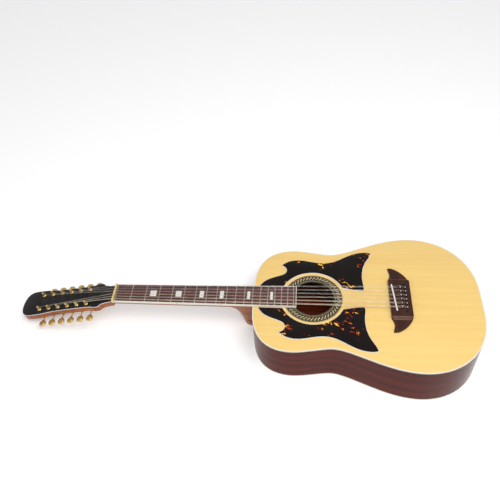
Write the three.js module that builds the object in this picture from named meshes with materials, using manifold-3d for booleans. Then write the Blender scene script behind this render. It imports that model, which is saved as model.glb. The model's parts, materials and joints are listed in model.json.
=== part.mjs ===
// A twelve-string acoustic guitar lying on its back, in millimetres, with +Z up.
//
// The instrument is built in its own "top frame": X = 0 is the zero fret and +X runs to the tail,
// -Y is the bass side, and Z = 0 is the outer face of the soundboard. The body is deeper at the
// tail than at the neck, so the whole top frame is tipped at the end until the back lies level.

import * as THREE from "three";
import { mergeVertices } from "three/addons/utils/BufferGeometryUtils.js";
import Module from "manifold-3d";

const wasm = await Module();
wasm.setup();

// ---------------------------------------------------------------------------------------------
// Driving dimensions
// ---------------------------------------------------------------------------------------------

const gap = 0.3; // air between two faces that are glued or seated on each other

// Strings and fretboard
const scaleLength = 648; // zero fret to the middle of the saddle
const fretCount = 18;
const bodyFret = 12; // the body begins just past this fret
const fretboardHalfWidthAtNut = 25.5;
const fretboardHalfWidthAtEnd = 29.3;
const fretboardHeight = 6.5; // playing face above the soundboard
const fretboardOverhang = 6.6; // wood past the last fret
const fretWidth = 2.2;
const fretCrown = 1;
const courseCount = 6;
const courseSpacingAtNut = 7.64;
const pairSpacingAtNut = 2;
const courseSpacingAtBridge = 11.4;
const pairSpacingAtSaddle = 2.6;
const actionAtBodyFret = 2.5; // string height over the fret where the body begins
const stringRadii = [[0.6, 0.34], [0.5, 0.23], [0.38, 0.2], [0.29, 0.2], [0.2, 0.2], [0.2, 0.2]];

// Nut and saddle
const nutThickness = 5;
const nutHalfWidth = 26.2;
const nutRise = 3; // above the fretboard
const saddleThickness = 3;
const saddleHalfLength = 37.5;
const saddleSlant = 3.5; // the bass end sits this far back, the treble end this far forward
const saddleSeat = 4.3; // height of its underside

// Body
const bodyLength = 520;
const bodyPastFret = 1; // from the body fret to the edge of the body
const neckEndFlat = 35; // half width of the straight stretch at the neck
const upperBoutAt = 95; // distances from the neck end of the body
const upperBoutHalfWidth = 147.5;
const waistAt = 180;
const waistHalfWidth = 136.5;
const lowerBoutAt = 373;
const lowerBoutHalfWidth = 191;
const tailFlat = 30;
const depthAtNeck = 98;
const depthAtTail = 116;
const plateThickness = 2.8; // soundboard and back
const sideThickness = 2.8;
const bindingWidth = 2.3;
const bindingHeight = 6;
const liningReach = 8; // inner face of the linings, from the outside of the body
const liningHeight = 13;

// Soundhole, rosette and pickguards
const soundholeAt = 138.3; // from the neck end of the body
const soundholeRadius = 47.5;
const rosetteMargin = 1; // spruce left between the soundhole and the rosette
const rosetteWidth = 20;
const rosetteThickness = 1.2;
const pickguardThickness = 2;
const pickguardRingMargin = 6.4; // from the rosette
const pickguardTail = 30.5; // from the centre line to where the ring ends at the bridge side
const pickguardNeckSide = -68; // where the fretboard's edge is taken for the ring's other end
const pickguardClearance = 1.6; // from the edge of the fretboard

// Bridge
const bridgeFront = 10; // front edge ahead of the scale length
const bridgeDepth = 48;
const bridgeHalfWidth = 92;
const bridgeRise = 3; // above the playing face of the fretboard
const bridgeWingHeight = 4.2;
const bridgeCentreHalfWidth = 52;
const bridgeRamp = 6;
const frontPinRow = 15; // pin rows behind the scale length
const rearPinRow = 26;
const pinHoleRadius = 2.6;
const pinHeadRadius = 3.6;
const stringPinOffset = 1.4; // string ahead of the middle of its pin hole
const stringHoleLean = 0.8; // the first bend out of the hole, ahead and up
const stringHoleRise = 0.5;
const pinPassReach = 3; // where a rear string passes its front neighbour's pin, and its heights
const pinPassRises = [0.8, 1.1];
const bridgePlateThickness = 3;
const bridgePlateHalfWidth = 60;
const bridgePlateMargin = 6; // past the front and the back of the bridge

// Bracing
const crossBraceAt = 220; // crossing of the two long braces, from the neck end
const crossBraceAngle = 48; // degrees from the centre line
const crossBraceSize = [8, 15]; // width and height
const crossBraceClearances = [14, 16]; // from the linings, at the neck end and at the tail end
const smallBraceSize = [7, 9];
const holeBraceAt = 14; // from the edge of the soundhole
const braceLap = 2; // how far a small brace runs under the brace it starts from
const toneBars = [[31.5, 66, -255], [4, 80, -235]]; // from the cross brace's end, then the run
const upperBraceAt = 73;
const upperBraceSize = [10, 12];
const backBraceSize = [9, 13];
const backBracesAt = [60, 205, 305, 415];
const backStripSize = [16, 2.5];

// Neck, heel and headstock
const neckDepthAtNut = 17;
const neckDepthAtBody = 20;
const heelLength = 62;
const heelCapHeight = 3; // heel cap above the level of the back
const heelCapHalfWidth = 15;
const blockLength = 38;
const blockHalfWidth = 34;
const tailBlockLength = 18;
const tailBlockHalfWidth = 26;
const tenonLength = 20;
const tenonHalfWidths = [12, 16]; // at the heel and at the far end of the dovetail
const tenonDepth = 75;
const trussRodStart = 6.5; // from the zero fret
const trussRodRadius = 3;
const trussRodDepth = 8.5; // axis below the top of the neck
const trussNutRadius = 4.8;
const headstockTilt = 12.5;
const headstockFaceDrop = 3; // face below the fretboard's plane, behind the nut
const headstockLength = 247;
const headstockThickness = 14.5;
const veneerThickness = 1.8;

// Tuners: six machines on one plate, twice
const tunersPerSide = 6;
const firstPostAt = 68.5;
const postSpacing = 25.4;
const postRowHalfWidth = 21.3;
const postRadius = 3;
const postWaistRadius = 2.5;
const postHeight = 10.5; // above the face of the headstock
const postWaistAt = 5.5;
const tunerPlateThickness = 1.2;
const tunerPlateHalfWidth = 8.6;
const tunerPlateEnd = 9; // past the first and the last machine
const gearTeeth = 12;
const wormPitch = 2.2;
const wormPitchRadius = 2.1;
const wormRootRadius = 1.6;
const wormCrestRadius = 2.7;
const wormGroove = 1.15; // width of the groove's floor
const wormCrest = 0.35;
const gearThickness = 3;
const gearToothTip = 0.4;
const knobShaftRadius = 1.3;
const earThickness = 1.4;
const buttonAt = 19.5; // inner end of the button, from the row of posts
const buttonLength = 16;
const buttonHalfWidth = 9;
const buttonHalfThickness = 4;

// End pin
const endPinRadius = 4;
const endPinHeadRadius = 7.5;
const endPinNeckRadius = 4.6;
const endPinHeight = 13;
const endPinDepth = 20;

// ---------------------------------------------------------------------------------------------
// Places that follow from them
// ---------------------------------------------------------------------------------------------

const fretAt = (n) => scaleLength * (1 - 2 ** (-n / 12));
const bodyStart = fretAt(bodyFret) + bodyPastFret;
const bodyEnd = bodyStart + bodyLength;
const taper = Math.atan((depthAtTail - depthAtNeck) / bodyLength);
const soundhole = bodyStart + soundholeAt;
const rosetteInnerRadius = soundholeRadius + rosetteMargin;
const rosetteOuterRadius = rosetteInnerRadius + rosetteWidth;
const pickguardRingRadius = rosetteOuterRadius + pickguardRingMargin;
const fretboardEnd = fretAt(fretCount) + fretboardOverhang;
const nutFront = -(fretWidth / 2 + 1.6);
const nutBack = nutFront - nutThickness;
const fretTop = fretboardHeight + fretCrown;
const headTilt = THREE.MathUtils.degToRad(headstockTilt);
const headFaceAtNut = fretboardHeight - headstockFaceDrop;
const bridgeHeight = fretboardHeight + bridgeRise;
const bridgeStart = scaleLength - bridgeFront;
const bridgeEnd = bridgeStart + bridgeDepth;
const boardBottom = -plateThickness - gap; // what is glued under the soundboard starts here
const blockStart = bodyStart + sideThickness + gap;
const blockEnd = blockStart + blockLength;
const saddleTop = fretTop + 2 * actionAtBodyFret - gap;

const fretboardSlope = (fretboardHalfWidthAtEnd - fretboardHalfWidthAtNut) / fretboardEnd;
const fretboardHalfWidth = (x) => fretboardHalfWidthAtNut + fretboardSlope * x;

// ---------------------------------------------------------------------------------------------
// Shapes and solids
// ---------------------------------------------------------------------------------------------

const point = (x, y) => new THREE.Vector2(x, y);

/** Points along a cubic curve, without its first point. */
function bend(from, control1, control2, to, steps) {
  return new THREE.CubicBezierCurve(from, control1, control2, to).getPoints(steps).slice(1);
}

/** A curve whose ends keep the given directions; reach1 and reach2 are the handle lengths. */
function sweep(from, direction1, reach1, to, direction2, reach2, steps) {
  const control1 = from.clone().addScaledVector(direction1.clone().normalize(), reach1);
  const control2 = to.clone().addScaledVector(direction2.clone().normalize(), -reach2);
  return bend(from, control1, control2, to, steps);
}

function circle(x, y, radius, sides) {
  const corner = (i) => (i + 0.5) * 2 * Math.PI / sides;
  return Array.from({ length: sides }, (_, i) =>
    point(x + radius * Math.cos(corner(i)), y + radius * Math.sin(corner(i))));
}

/** A hole's outline that clears a round piece of this radius all the way round. */
const clearing = (x, y, radius, sides) => circle(x, y, radius / Math.cos(Math.PI / sides), sides);

/** The same outline on the other side of the centre line. */
const mirrored = (points) => points.map((p) => point(p.x, -p.y)).reverse();

/** A closed loop of points moved inwards by a distance. */
function inset(loop, distance) {
  const turn = Math.sign(THREE.ShapeUtils.area(loop));
  return loop.map((p, i) => {
    const before = loop[(i + loop.length - 1) % loop.length];
    const after = loop[(i + 1) % loop.length];
    const a = p.clone().sub(before).normalize();
    const b = after.clone().sub(p).normalize();
    const normal = point(-(a.y + b.y), a.x + b.x).normalize();
    const stretch = Math.sqrt((1 + a.dot(b)) / 2);
    return p.clone().addScaledVector(normal, turn * distance / stretch);
  });
}

function extruded(loop, low, high, holes = []) {
  const shape = new THREE.Shape(THREE.ShapeUtils.isClockWise(loop) ? [...loop].reverse() : loop);
  shape.holes = holes.map((hole) => new THREE.Path(hole));
  const settings = { depth: high - low, bevelEnabled: false, steps: 1 };
  return new THREE.ExtrudeGeometry(shape, settings).translate(0, 0, low);
}

function block(x0, x1, y0, y1, z0, z1) {
  return new THREE.BoxGeometry(x1 - x0, y1 - y0, z1 - z0)
    .translate((x0 + x1) / 2, (y0 + y1) / 2, (z0 + z1) / 2);
}

/** A turned piece about the Z axis, from pairs of radius and height, bottom to top. */
function turned(profile, sides) {
  const points = profile.map(([radius, height]) => point(radius, height));
  return new THREE.LatheGeometry(points, sides).rotateX(Math.PI / 2);
}

/** A closed skin over rings of points, with a fan over each end. */
function loft(rings) {
  const size = rings[0].length;
  const middle = (ring) =>
    ring.reduce((sum, p) => sum.add(p), new THREE.Vector3()).divideScalar(size);
  const vertices = [...rings.flat(), middle(rings[0]), middle(rings.at(-1))];
  const first = rings.length * size;
  const faces = [];
  for (let i = 0; i < size; i += 1) {
    const next = (i + 1) % size;
    for (let r = 0; r < rings.length - 1; r += 1) {
      const low = r * size;
      const high = low + size;
      faces.push(low + i, low + next, high + next, low + i, high + next, high + i);
    }
    faces.push(first, next, i);
    faces.push(first + 1, first - size + i, first - size + next);
  }
  return skin(vertices, faces);
}

/** A geometry from points and triangles, with every triangle turned to face outwards. */
function skin(vertices, faces) {
  let volume = 0;
  for (let i = 0; i < faces.length; i += 3) {
    const [a, b, c] = faces.slice(i, i + 3).map((corner) => vertices[corner]);
    volume += a.dot(b.clone().cross(c));
  }
  const geometry = new THREE.BufferGeometry().setFromPoints(vertices);
  geometry.setIndex(volume < 0 ? [...faces].reverse() : faces);
  return geometry;
}

/** A closed geometry as a solid that can be joined and cut. */
function solid(geometry) {
  const bare = geometry.clone();
  bare.deleteAttribute("normal");
  bare.deleteAttribute("uv");
  const merged = mergeVertices(bare, 1e-4);
  return new wasm.Manifold(new wasm.Mesh({
    numProp: 3,
    vertProperties: new Float32Array(merged.attributes.position.array),
    triVerts: new Uint32Array(merged.index.array),
  }));
}

const unite = (solids) => solids.reduce((whole, next) => whole.add(next));
const cut = (whole, tools) => tools.reduce((rest, tool) => rest.subtract(tool), whole);

function geometryOf(body) {
  const mesh = body.getMesh();
  const geometry = new THREE.BufferGeometry();
  geometry.setAttribute("position", new THREE.BufferAttribute(mesh.vertProperties, 3));
  geometry.setIndex(new THREE.BufferAttribute(mesh.triVerts, 1));
  return geometry;
}

function add(parent, name, material, shape) {
  const geometry = shape.isBufferGeometry ? shape : geometryOf(shape);
  geometry.computeVertexNormals();
  const mesh = new THREE.Mesh(geometry, material.clone());
  mesh.name = name;
  parent.add(mesh);
  return mesh;
}

/** A layer parallel to the back, between two heights above its outer face. */
function backLayer(low, high) {
  const reach = 3 * bodyLength;
  return solid(block(-reach, reach, -reach, reach, low, high)
    .rotateY(taper)
    .translate(bodyStart, 0, -depthAtNeck));
}

// ---------------------------------------------------------------------------------------------
// Materials
// ---------------------------------------------------------------------------------------------

const finish = (color, roughness, metalness = 0) =>
  new THREE.MeshStandardMaterial({ color, roughness, metalness });

const spruce = finish(0xe6cf93, 0.3);
const bareSpruce = finish(0xd9c08a, 0.8);
const mahogany = finish(0x7a3418, 0.25);
const neckWood = finish(0x8c4a20, 0.3);
const rosewood = finish(0x4a2618, 0.45);
const maple = finish(0xcbb086, 0.7);
const creamPlastic = finish(0xf2ecd8, 0.3);
const ivoryPlastic = finish(0xe5d5a0, 0.35);
const blackGloss = finish(0x0c0b0b, 0.12);
const tortoise = finish(0x1c0f0c, 0.1);
const mosaic = finish(0x8d8368, 0.4);
const gold = finish(0xcfa24a, 0.28, 1);
const steel = finish(0x9a9a9c, 0.4, 1);
const stringMetal = finish(0xb9a684, 0.3, 1);

// ---------------------------------------------------------------------------------------------
// Body
// ---------------------------------------------------------------------------------------------

/** The treble half of the body's outline, from the neck end round to the tail. */
function halfOutline() {
  const neckCorner = point(bodyStart, neckEndFlat);
  const upperBout = point(bodyStart + upperBoutAt, upperBoutHalfWidth);
  const waist = point(bodyStart + waistAt, waistHalfWidth);
  const lowerBout = point(bodyStart + lowerBoutAt, lowerBoutHalfWidth);
  const tailCorner = point(bodyEnd, tailFlat);
  const along = point(1, 0);
  const across = point(0, 1);
  return [
    neckCorner,
    ...sweep(neckCorner, across, 42.7, upperBout, along, 83.8, 8),
    ...sweep(upperBout, along, 23.5, waist, along, 18.9, 4),
    ...sweep(waist, along, 43.3, lowerBout, along, 78.1, 6),
    ...sweep(lowerBout, along, 80.4, tailCorner, across.clone().negate(), 99.6, 8),
  ];
}

const half = halfOutline();
const bodyLoop = [...half, ...mirrored(half)];

/** Half width of the body at a place along it. */
function bodyHalfWidth(x) {
  const i = half.findIndex((p) => p.x >= x);
  const [a, b] = [half[Math.max(i - 1, 0)], half[Math.max(i, 1)]];
  return a.y + (b.y - a.y) * (x - a.x) / (b.x - a.x);
}

/** A band that follows the outline, between two distances in from the outside. */
function band(outer, inner, low, high) {
  const outside = outer > 0 ? inset(bodyLoop, outer) : bodyLoop;
  return solid(extruded(outside, low, high, [inset(bodyLoop, inner)]));
}

const deepest = -2 * depthAtTail;
const above = 2 * depthAtTail;
const plateLoop = inset(bodyLoop, bindingWidth + gap);

/** The dovetail that holds the neck: its outline seen from above, grown by a clearance. */
function dovetail(clearance) {
  const [near, far] = tenonHalfWidths.map((w) => w + clearance);
  const start = bodyStart - gap - 4;
  const end = bodyStart + tenonLength + clearance;
  return [point(start, -near), point(end, -far), point(end, far), point(start, near)];
}

const dovetailSlot = solid(extruded(dovetail(gap), -tenonDepth - gap, 1));
const rodHalfWidth = trussRodRadius + gap;
const rodFloor = -trussRodDepth - rodHalfWidth;

const stringPlaces = Array.from({ length: 2 * courseCount }, (_, i) => {
  const course = Math.floor(i / 2);
  const place = course - (courseCount - 1) / 2;
  const second = i % 2;
  return {
    radius: stringRadii[course][second],
    nutY: place * courseSpacingAtNut + (second - 0.5) * pairSpacingAtNut,
    pinY: place * courseSpacingAtBridge,
    saddleY: place * courseSpacingAtBridge + (second - 0.5) * pairSpacingAtSaddle,
    rear: second === 1,
    pinX: scaleLength + (second === 1 ? rearPinRow : frontPinRow),
  };
});

const pinHoles = unite(stringPlaces.map((s) =>
  solid(extruded(circle(s.pinX, s.pinY, pinHoleRadius, 6), -60, 60))));

function soundboard() {
  const hole = circle(soundhole, 0, soundholeRadius, 36);
  const board = solid(extruded(plateLoop, -plateThickness, 0, [hole]));
  const groove = solid(extruded(
    circle(soundhole, 0, rosetteOuterRadius + gap, 36), -rosetteThickness - gap, 1,
    [circle(soundhole, 0, rosetteInnerRadius - gap, 36)]));
  return cut(board, [groove, pinHoles, dovetailSlot]);
}

function side(sign) {
  const under = -bindingHeight - gap;
  const wall = band(0, sideThickness, deepest, under)
    .intersect(backLayer(bindingHeight + gap, above));
  const inner = band(bindingWidth + gap, liningReach, deepest, boardBottom);
  const upperLining = inner.intersect(solid(
    block(0, 2 * bodyEnd, -bodyLength, bodyLength, boardBottom - liningHeight, 0)));
  const backStart = plateThickness + gap;
  const lowerLining = inner.intersect(backLayer(backStart, backStart + liningHeight));
  const reach = blockHalfWidth + gap;
  const tailReach = tailBlockHalfWidth + gap;
  const neckRoom = solid(block(blockStart - gap, blockEnd, -reach, reach, deepest, 0));
  const tailRoom = solid(block(bodyEnd - sideThickness - gap - tailBlockLength,
    bodyEnd - sideThickness, -tailReach, tailReach, deepest, 0));
  const linings = cut(unite([upperLining, lowerLining]), [neckRoom, tailRoom]);
  const seam = gap / 2;
  const room = sign > 0 ? [seam, bodyLength] : [-bodyLength, -seam];
  const ownHalf = solid(block(0, 2 * bodyEnd, ...room, deepest, 10));
  return cut(unite([wall, linings]), [dovetailSlot, endPinHole()]).intersect(ownHalf);
}

function backPlate() {
  return solid(extruded(plateLoop, deepest, 0)).intersect(backLayer(0, plateThickness));
}

function topBinding() {
  return cut(band(0, bindingWidth, -bindingHeight, 0), [dovetailSlot]);
}

function backBinding() {
  return band(0, bindingWidth, deepest, 0).intersect(backLayer(0, bindingHeight));
}

function neckBlock() {
  const body = solid(block(blockStart, blockEnd, -blockHalfWidth, blockHalfWidth,
    deepest, boardBottom)).intersect(backLayer(plateThickness + gap, above));
  const rodWay = solid(block(bodyStart, blockEnd + 1, -rodHalfWidth, rodHalfWidth, rodFloor, 0));
  return cut(body, [dovetailSlot, rodWay]);
}

function tailBlock() {
  const end = bodyEnd - sideThickness - gap;
  const body = solid(block(end - tailBlockLength, end, -tailBlockHalfWidth, tailBlockHalfWidth,
    deepest, boardBottom)).intersect(backLayer(plateThickness + gap, above));
  return cut(body, [endPinHole()]);
}

// The end pin sits at mid depth of the tail.
const endPinZ = -depthAtTail / 2;

function endPinHole() {
  return solid(extruded(clearing(0, 0, endPinRadius + gap, 8), -2 * endPinDepth, 20)
    .rotateY(Math.PI / 2)
    .translate(bodyEnd, 0, endPinZ));
}

function endPin() {
  const neck = endPinNeckRadius;
  return turned([
    [0, -endPinDepth],
    [endPinRadius, -endPinDepth],
    [endPinRadius, gap],
    [endPinHeadRadius, gap],
    [endPinHeadRadius, gap + 2],
    [neck, gap + 4],
    [neck, endPinHeight - 4],
    [endPinHeadRadius, endPinHeight - 2],
    [endPinHeadRadius, endPinHeight],
    [0, endPinHeight],
  ], 16).rotateY(Math.PI / 2).translate(bodyEnd, 0, endPinZ);
}

// ---------------------------------------------------------------------------------------------
// Bracing
// ---------------------------------------------------------------------------------------------

/** A straight brace hanging from z = 0 between two points, with sloping ends. */
function brace(from, to, [width, height]) {
  const length = from.distanceTo(to);
  const slope = Math.min(2 * height, length / 3);
  const profile = [
    point(0, 0), point(0, -height / 3), point(slope, -height),
    point(length - slope, -height), point(length, -height / 3), point(length, 0),
  ];
  return solid(extruded(profile, -width / 2, width / 2)
    .rotateX(Math.PI / 2)
    .rotateZ(to.clone().sub(from).angle())
    .translate(from.x, from.y, 0));
}

/** Half the length of a brace across the body that stops short of the linings. */
const braceHalfLength = (x) => bodyHalfWidth(x) - liningReach - 6;

function soundboardBracing() {
  const centre = point(bodyStart + crossBraceAt, 0);
  const direction = (sign, along) => {
    const angle = THREE.MathUtils.degToRad(crossBraceAngle);
    return point(along * Math.cos(angle), sign * Math.sin(angle));
  };
  const onArm = (sign, along, distance) =>
    centre.clone().addScaledVector(direction(sign, along), distance);
  const [neckClearance, tailClearance] = crossBraceClearances;
  const neckArm = (upperBoutHalfWidth - liningReach - neckClearance) / direction(1, 1).y;
  const tailArm = (lowerBoutHalfWidth - liningReach - tailClearance) / direction(1, 1).y;
  const upper = bodyStart + upperBraceAt;
  const holeSide = soundholeRadius + holeBraceAt;
  const holeSideArm = holeSide / direction(1, 1).y;
  const bars = [
    brace(onArm(-1, -1, neckArm), onArm(1, 1, tailArm), crossBraceSize),
    brace(onArm(1, -1, neckArm), onArm(-1, 1, tailArm), crossBraceSize),
    brace(point(upper, -braceHalfLength(upper)), point(upper, braceHalfLength(upper)),
      upperBraceSize),
    ...[-1, 1].map((sign) => brace(point(upper - braceLap, sign * holeSide),
      point(onArm(sign, -1, holeSideArm).x, sign * holeSide), smallBraceSize)),
    ...toneBars.map(([setback, along, across]) => {
      const start = onArm(1, 1, tailArm - setback);
      return brace(start, start.clone().add(point(along, across)), smallBraceSize);
    }),
  ];
  return cut(unite(bars).translate([0, 0, boardBottom]), [bridgePlateBlock(gap)]);
}

/** The room that the bridge plate takes, with the given air round it. */
function bridgePlateBlock(air) {
  const halfWidth = bridgePlateHalfWidth + air;
  return solid(block(bridgeStart - bridgePlateMargin - air, bridgeEnd + bridgePlateMargin + air,
    -halfWidth, halfWidth, boardBottom - bridgePlateThickness - air, boardBottom));
}

function bridgePlate() {
  return cut(bridgePlateBlock(0), [pinHoles]);
}

function backBracing() {
  const [width, height] = backBraceSize;
  const [stripWidth, stripHeight] = backStripSize;
  const seat = plateThickness + gap;
  const bars = backBracesAt.map((at) => {
    const x = bodyStart + at;
    const reach = braceHalfLength(x);
    return solid(block(x - width / 2, x + width / 2, -reach, reach, deepest, 0));
  });
  const low = backLayer(seat, seat + height);
  const strip = solid(block(blockEnd + gap, bodyEnd - sideThickness - tailBlockLength - 2 * gap,
    -stripWidth / 2, stripWidth / 2, deepest, 0));
  return unite([unite(bars).intersect(low),
    strip.intersect(backLayer(seat, seat + stripHeight))]);
}

// ---------------------------------------------------------------------------------------------
// On the soundboard: rosette, pickguards, bridge and saddle
// ---------------------------------------------------------------------------------------------

function rosette() {
  return extruded(circle(soundhole, 0, rosetteOuterRadius, 36), -rosetteThickness, 0,
    [circle(soundhole, 0, rosetteInnerRadius, 36)]);
}

/** The winged pickguard beside the fretboard and round the rosette, on one side. */
function pickguard(sign) {
  const at = (x, y) => point(soundhole + x, y);
  const boardEdge = (x) => fretboardHalfWidth(soundhole + x) + pickguardClearance;
  const start = at(-126.3, boardEdge(-126.3));
  const bay = at(-68.3, 71.5);
  const horn = at(-77.3, 97);
  const shoulder = at(-31.3, 115.5);
  const waist = at(24.7, 107.2);
  const wing = at(128.7, 144);
  const wingTip = at(140.7, 138);
  const rear = at(116.7, 62);
  const foot = at(119.2, 30);
  const heel = at(114.7, 23.5);
  const ringStart = Math.asin(pickguardTail / pickguardRingRadius);
  const ringEnd = Math.PI - Math.asin(boardEdge(pickguardNeckSide) / pickguardRingRadius);
  const ring = new THREE.EllipseCurve(soundhole, 0, pickguardRingRadius, pickguardRingRadius,
    ringStart, ringEnd).getPoints(14);
  const along = point(1, 0);
  const loop = [
    start,
    ...sweep(start, point(0.4, 1), 33.2, bay, point(0.9, 0.7), 17.6, 5),
    ...bend(bay, at(-59.3, 78.5), at(-62.3, 95.5), horn, 5),
    ...sweep(horn, point(1, 0.9), 19.1, shoulder, along, 25.1, 5),
    ...sweep(shoulder, along, 13.9, waist, along, 19.8, 3),
    ...sweep(waist, along, 40, wing, along, 46.3, 6),
    ...bend(wing, at(135.7, 144), at(142.2, 141.5), wingTip, 3),
    ...sweep(wingTip, point(-0.3, -1), 19.6, rear, point(0, -1), 44.4, 5),
    ...bend(rear, at(116.7, 48), at(119.7, 40), foot, 3),
    ...bend(foot, at(119.5, 26.5), at(117.7, 23.9), heel, 2),
    ...sweep(heel, point(-1, 0.05), 30, ring[0], point(-1, 0.1), 14, 4).slice(0, -1),
    ...ring,
  ];
  return extruded(sign > 0 ? loop : mirrored(loop), gap, gap + pickguardThickness);
}

/** The bridge's outline: straight over the middle, with a pointed wing at each end. */
function bridgeLoop() {
  const frontCorner = point(bridgeStart, bridgeCentreHalfWidth + 3);
  const cusp = point(bridgeStart + 3, frontCorner.y + 5);
  const tip = point(bridgeStart + 1.5, bridgeHalfWidth);
  const rearCorner = point(bridgeEnd, bridgeCentreHalfWidth - 2);
  const upperHalf = [
    frontCorner,
    cusp,
    ...sweep(cusp, point(0.3, 1), 22, tip, point(-0.2, 1), 6.1, 4),
    ...sweep(tip, point(1, 0.1), 19, rearCorner, point(0.15, -1), 17, 7),
  ];
  return [...upperHalf, ...mirrored(upperHalf)];
}

const saddleX = (y) => scaleLength - 0.5 - saddleSlant * y / saddleHalfLength;

/** A bar along the saddle's slanted line, grown by a clearance. */
function saddleBar(clearance, low, high) {
  const length = saddleHalfLength + clearance;
  const width = saddleThickness / 2 + clearance;
  const angle = Math.atan2(saddleSlant, saddleHalfLength);
  return block(-width, width, -length, length, low, high)
    .rotateZ(angle)
    .translate(saddleX(0), 0, 0);
}

function bridge() {
  const centre = bridgeCentreHalfWidth;
  const wing = centre + bridgeRamp;
  const profile = [
    point(-bridgeHalfWidth - 1, gap), point(bridgeHalfWidth + 1, gap),
    point(bridgeHalfWidth + 1, bridgeWingHeight), point(wing, bridgeWingHeight),
    point(centre, bridgeHeight), point(-centre, bridgeHeight),
    point(-wing, bridgeWingHeight), point(-bridgeHalfWidth - 1, bridgeWingHeight),
  ];
  const height = solid(extruded(profile, bridgeStart - 5, bridgeEnd + 5)
    .rotateX(Math.PI / 2)
    .rotateZ(Math.PI / 2));
  const outline = solid(extruded(bridgeLoop(), 0, bridgeHeight + 1));
  const slot = solid(saddleBar(gap, saddleSeat - gap, bridgeHeight + 2));
  return cut(outline.intersect(height), [slot, pinHoles]);
}

// ---------------------------------------------------------------------------------------------
// Neck, fretboard and headstock
// ---------------------------------------------------------------------------------------------

/** How deep the neck is at a place along it; the heel sweeps down in front of the body. */
function neckDepth(x) {
  const shaft = neckDepthAtNut + (neckDepthAtBody - neckDepthAtNut) * Math.max(x, 0) / bodyStart;
  const intoHeel = Math.max(0, (x - bodyStart + heelLength) / heelLength);
  return shaft + 3.2 * depthAtNeck * intoHeel ** 3;
}

/** Half of the neck's section, as a rounded V that narrows downwards. */
function neckRing(x) {
  const width = fretboardHalfWidth(x);
  const depth = neckDepth(x);
  const narrowest = heelCapHalfWidth / fretboardHalfWidth(bodyStart);
  return Array.from({ length: 11 }, (_, i) => {
    const angle = Math.PI * i / 10;
    const drop = depth * Math.sin(angle) ** 0.9;
    const share = Math.min(drop / depthAtNeck, 1);
    const narrowing = 1 - (1 - narrowest) * share;
    return new THREE.Vector3(x, width * Math.cos(angle) * narrowing, -drop);
  });
}

/** The headstock's outline in its own plane, from a place behind the nut to the tip. */
function headstockLoop(start) {
  const root = point(start, fretboardHalfWidthAtNut - 1);
  const shoulder = point(-42, 35.5);
  const waist = point(-100, 31.7);
  const flare = point(-headstockLength + 37, 36.8);
  const tip = point(-headstockLength, 0);
  const back = point(-1, 0);
  const upper = [
    root,
    ...sweep(root, point(-1, 0.05), 44.9, shoulder, back, 19.1, 5),
    ...sweep(shoulder, back, 20.7, waist, back, 67.2, 4),
    ...sweep(waist, back, 92.3, flare, back, 44.4, 4),
    ...sweep(flare, back, 11.2, tip, point(0, -1), 41.1, 6),
  ];
  return [...upper, ...mirrored(upper).slice(1)];
}

const machines = Array.from({ length: 2 * tunersPerSide }, (_, i) => ({
  number: i + 1,
  sign: i < tunersPerSide ? -1 : 1,
  x: -(firstPostAt + postSpacing * (i % tunersPerSide)),
}));

const postHole = (m) => clearing(m.x, m.sign * postRowHalfWidth, postRadius + gap, 8);
const headWoodTop = -veneerThickness - gap;
const headBack = headWoodTop - headstockThickness;

/** Moves a shape from the headstock's plane to the top frame. */
const toHead = (geometry) => geometry.rotateY(-headTilt).translate(nutBack, 0, headFaceAtNut);

function neck() {
  const stations = [nutBack - 22, 0, 130, 255];
  for (let i = 1; i <= 8; i += 1) {
    stations.push(bodyStart - gap - heelLength * (1 - i / 8));
  }
  const shaft = solid(loft(stations.map(neckRing)));
  const root = fretboardHalfWidthAtNut - 1;
  const plank = solid(toHead(extruded(headstockLoop(0), headBack, headWoodTop)));
  const scarf = solid(toHead(block(-1, 18, -root, root, headBack, headWoodTop)));
  const tenon = solid(extruded(dovetail(0), -tenonDepth, 0));
  const rodChannel = solid(block(trussRodStart, bodyEnd, -rodHalfWidth, rodHalfWidth,
    rodFloor, 1));
  const overBed = solid(block(nutBack - gap, bodyEnd, -100, 100, 0, 60));
  const overHead = solid(toHead(block(-headstockLength, 0, -100, 100, headWoodTop, 60)));
  const behindHeel = solid(block(bodyStart - gap, bodyEnd, -100, 100, deepest, 1));
  const postHoles = machines.map((m) =>
    solid(toHead(extruded(postHole(m), headBack - 5, 5))));
  const blank = cut(unite([shaft, plank, scarf]), [behindHeel, overBed, overHead]);
  const heelCut = backLayer(-3 * depthAtTail, heelCapHeight);
  return cut(unite([blank, tenon]), [heelCut, rodChannel, ...postHoles]);
}

/** The adjustable rod in the neck, with its nut inside the body. */
function trussRod() {
  const start = trussRodStart + gap;
  const nutStart = blockEnd + gap;
  return turned([
    [0, start],
    [trussRodRadius, start],
    [trussRodRadius, nutStart],
    [trussNutRadius, nutStart],
    [trussNutRadius, nutStart + 9],
    [0, nutStart + 9],
  ], 8).rotateY(Math.PI / 2).translate(0, 0, -trussRodDepth);
}

/** The fretboard with its frets, the zero fret first. */
function fretboard() {
  const [start, end] = [nutFront + gap, fretboardEnd];
  const board = solid(extruded([
    point(start, -fretboardHalfWidth(start)), point(end, -fretboardHalfWidth(end)),
    point(end, fretboardHalfWidth(end)), point(start, fretboardHalfWidth(start)),
  ], gap, fretboardHeight));
  const frets = Array.from({ length: fretCount + 1 }, (_, n) => {
    const x = fretAt(n);
    const reach = fretboardHalfWidth(x) - 1;
    const section = [
      point(-fretWidth / 2, -0.5), point(fretWidth / 2, -0.5), point(fretWidth / 2, 0.3),
      point(0, fretCrown), point(-fretWidth / 2, 0.3),
    ];
    return solid(extruded(section, -reach, reach)
      .rotateX(Math.PI / 2)
      .translate(x, 0, fretboardHeight));
  });
  return unite([board, ...frets]);
}

const stringZAtNut = fretTop - 0.1;

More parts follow.
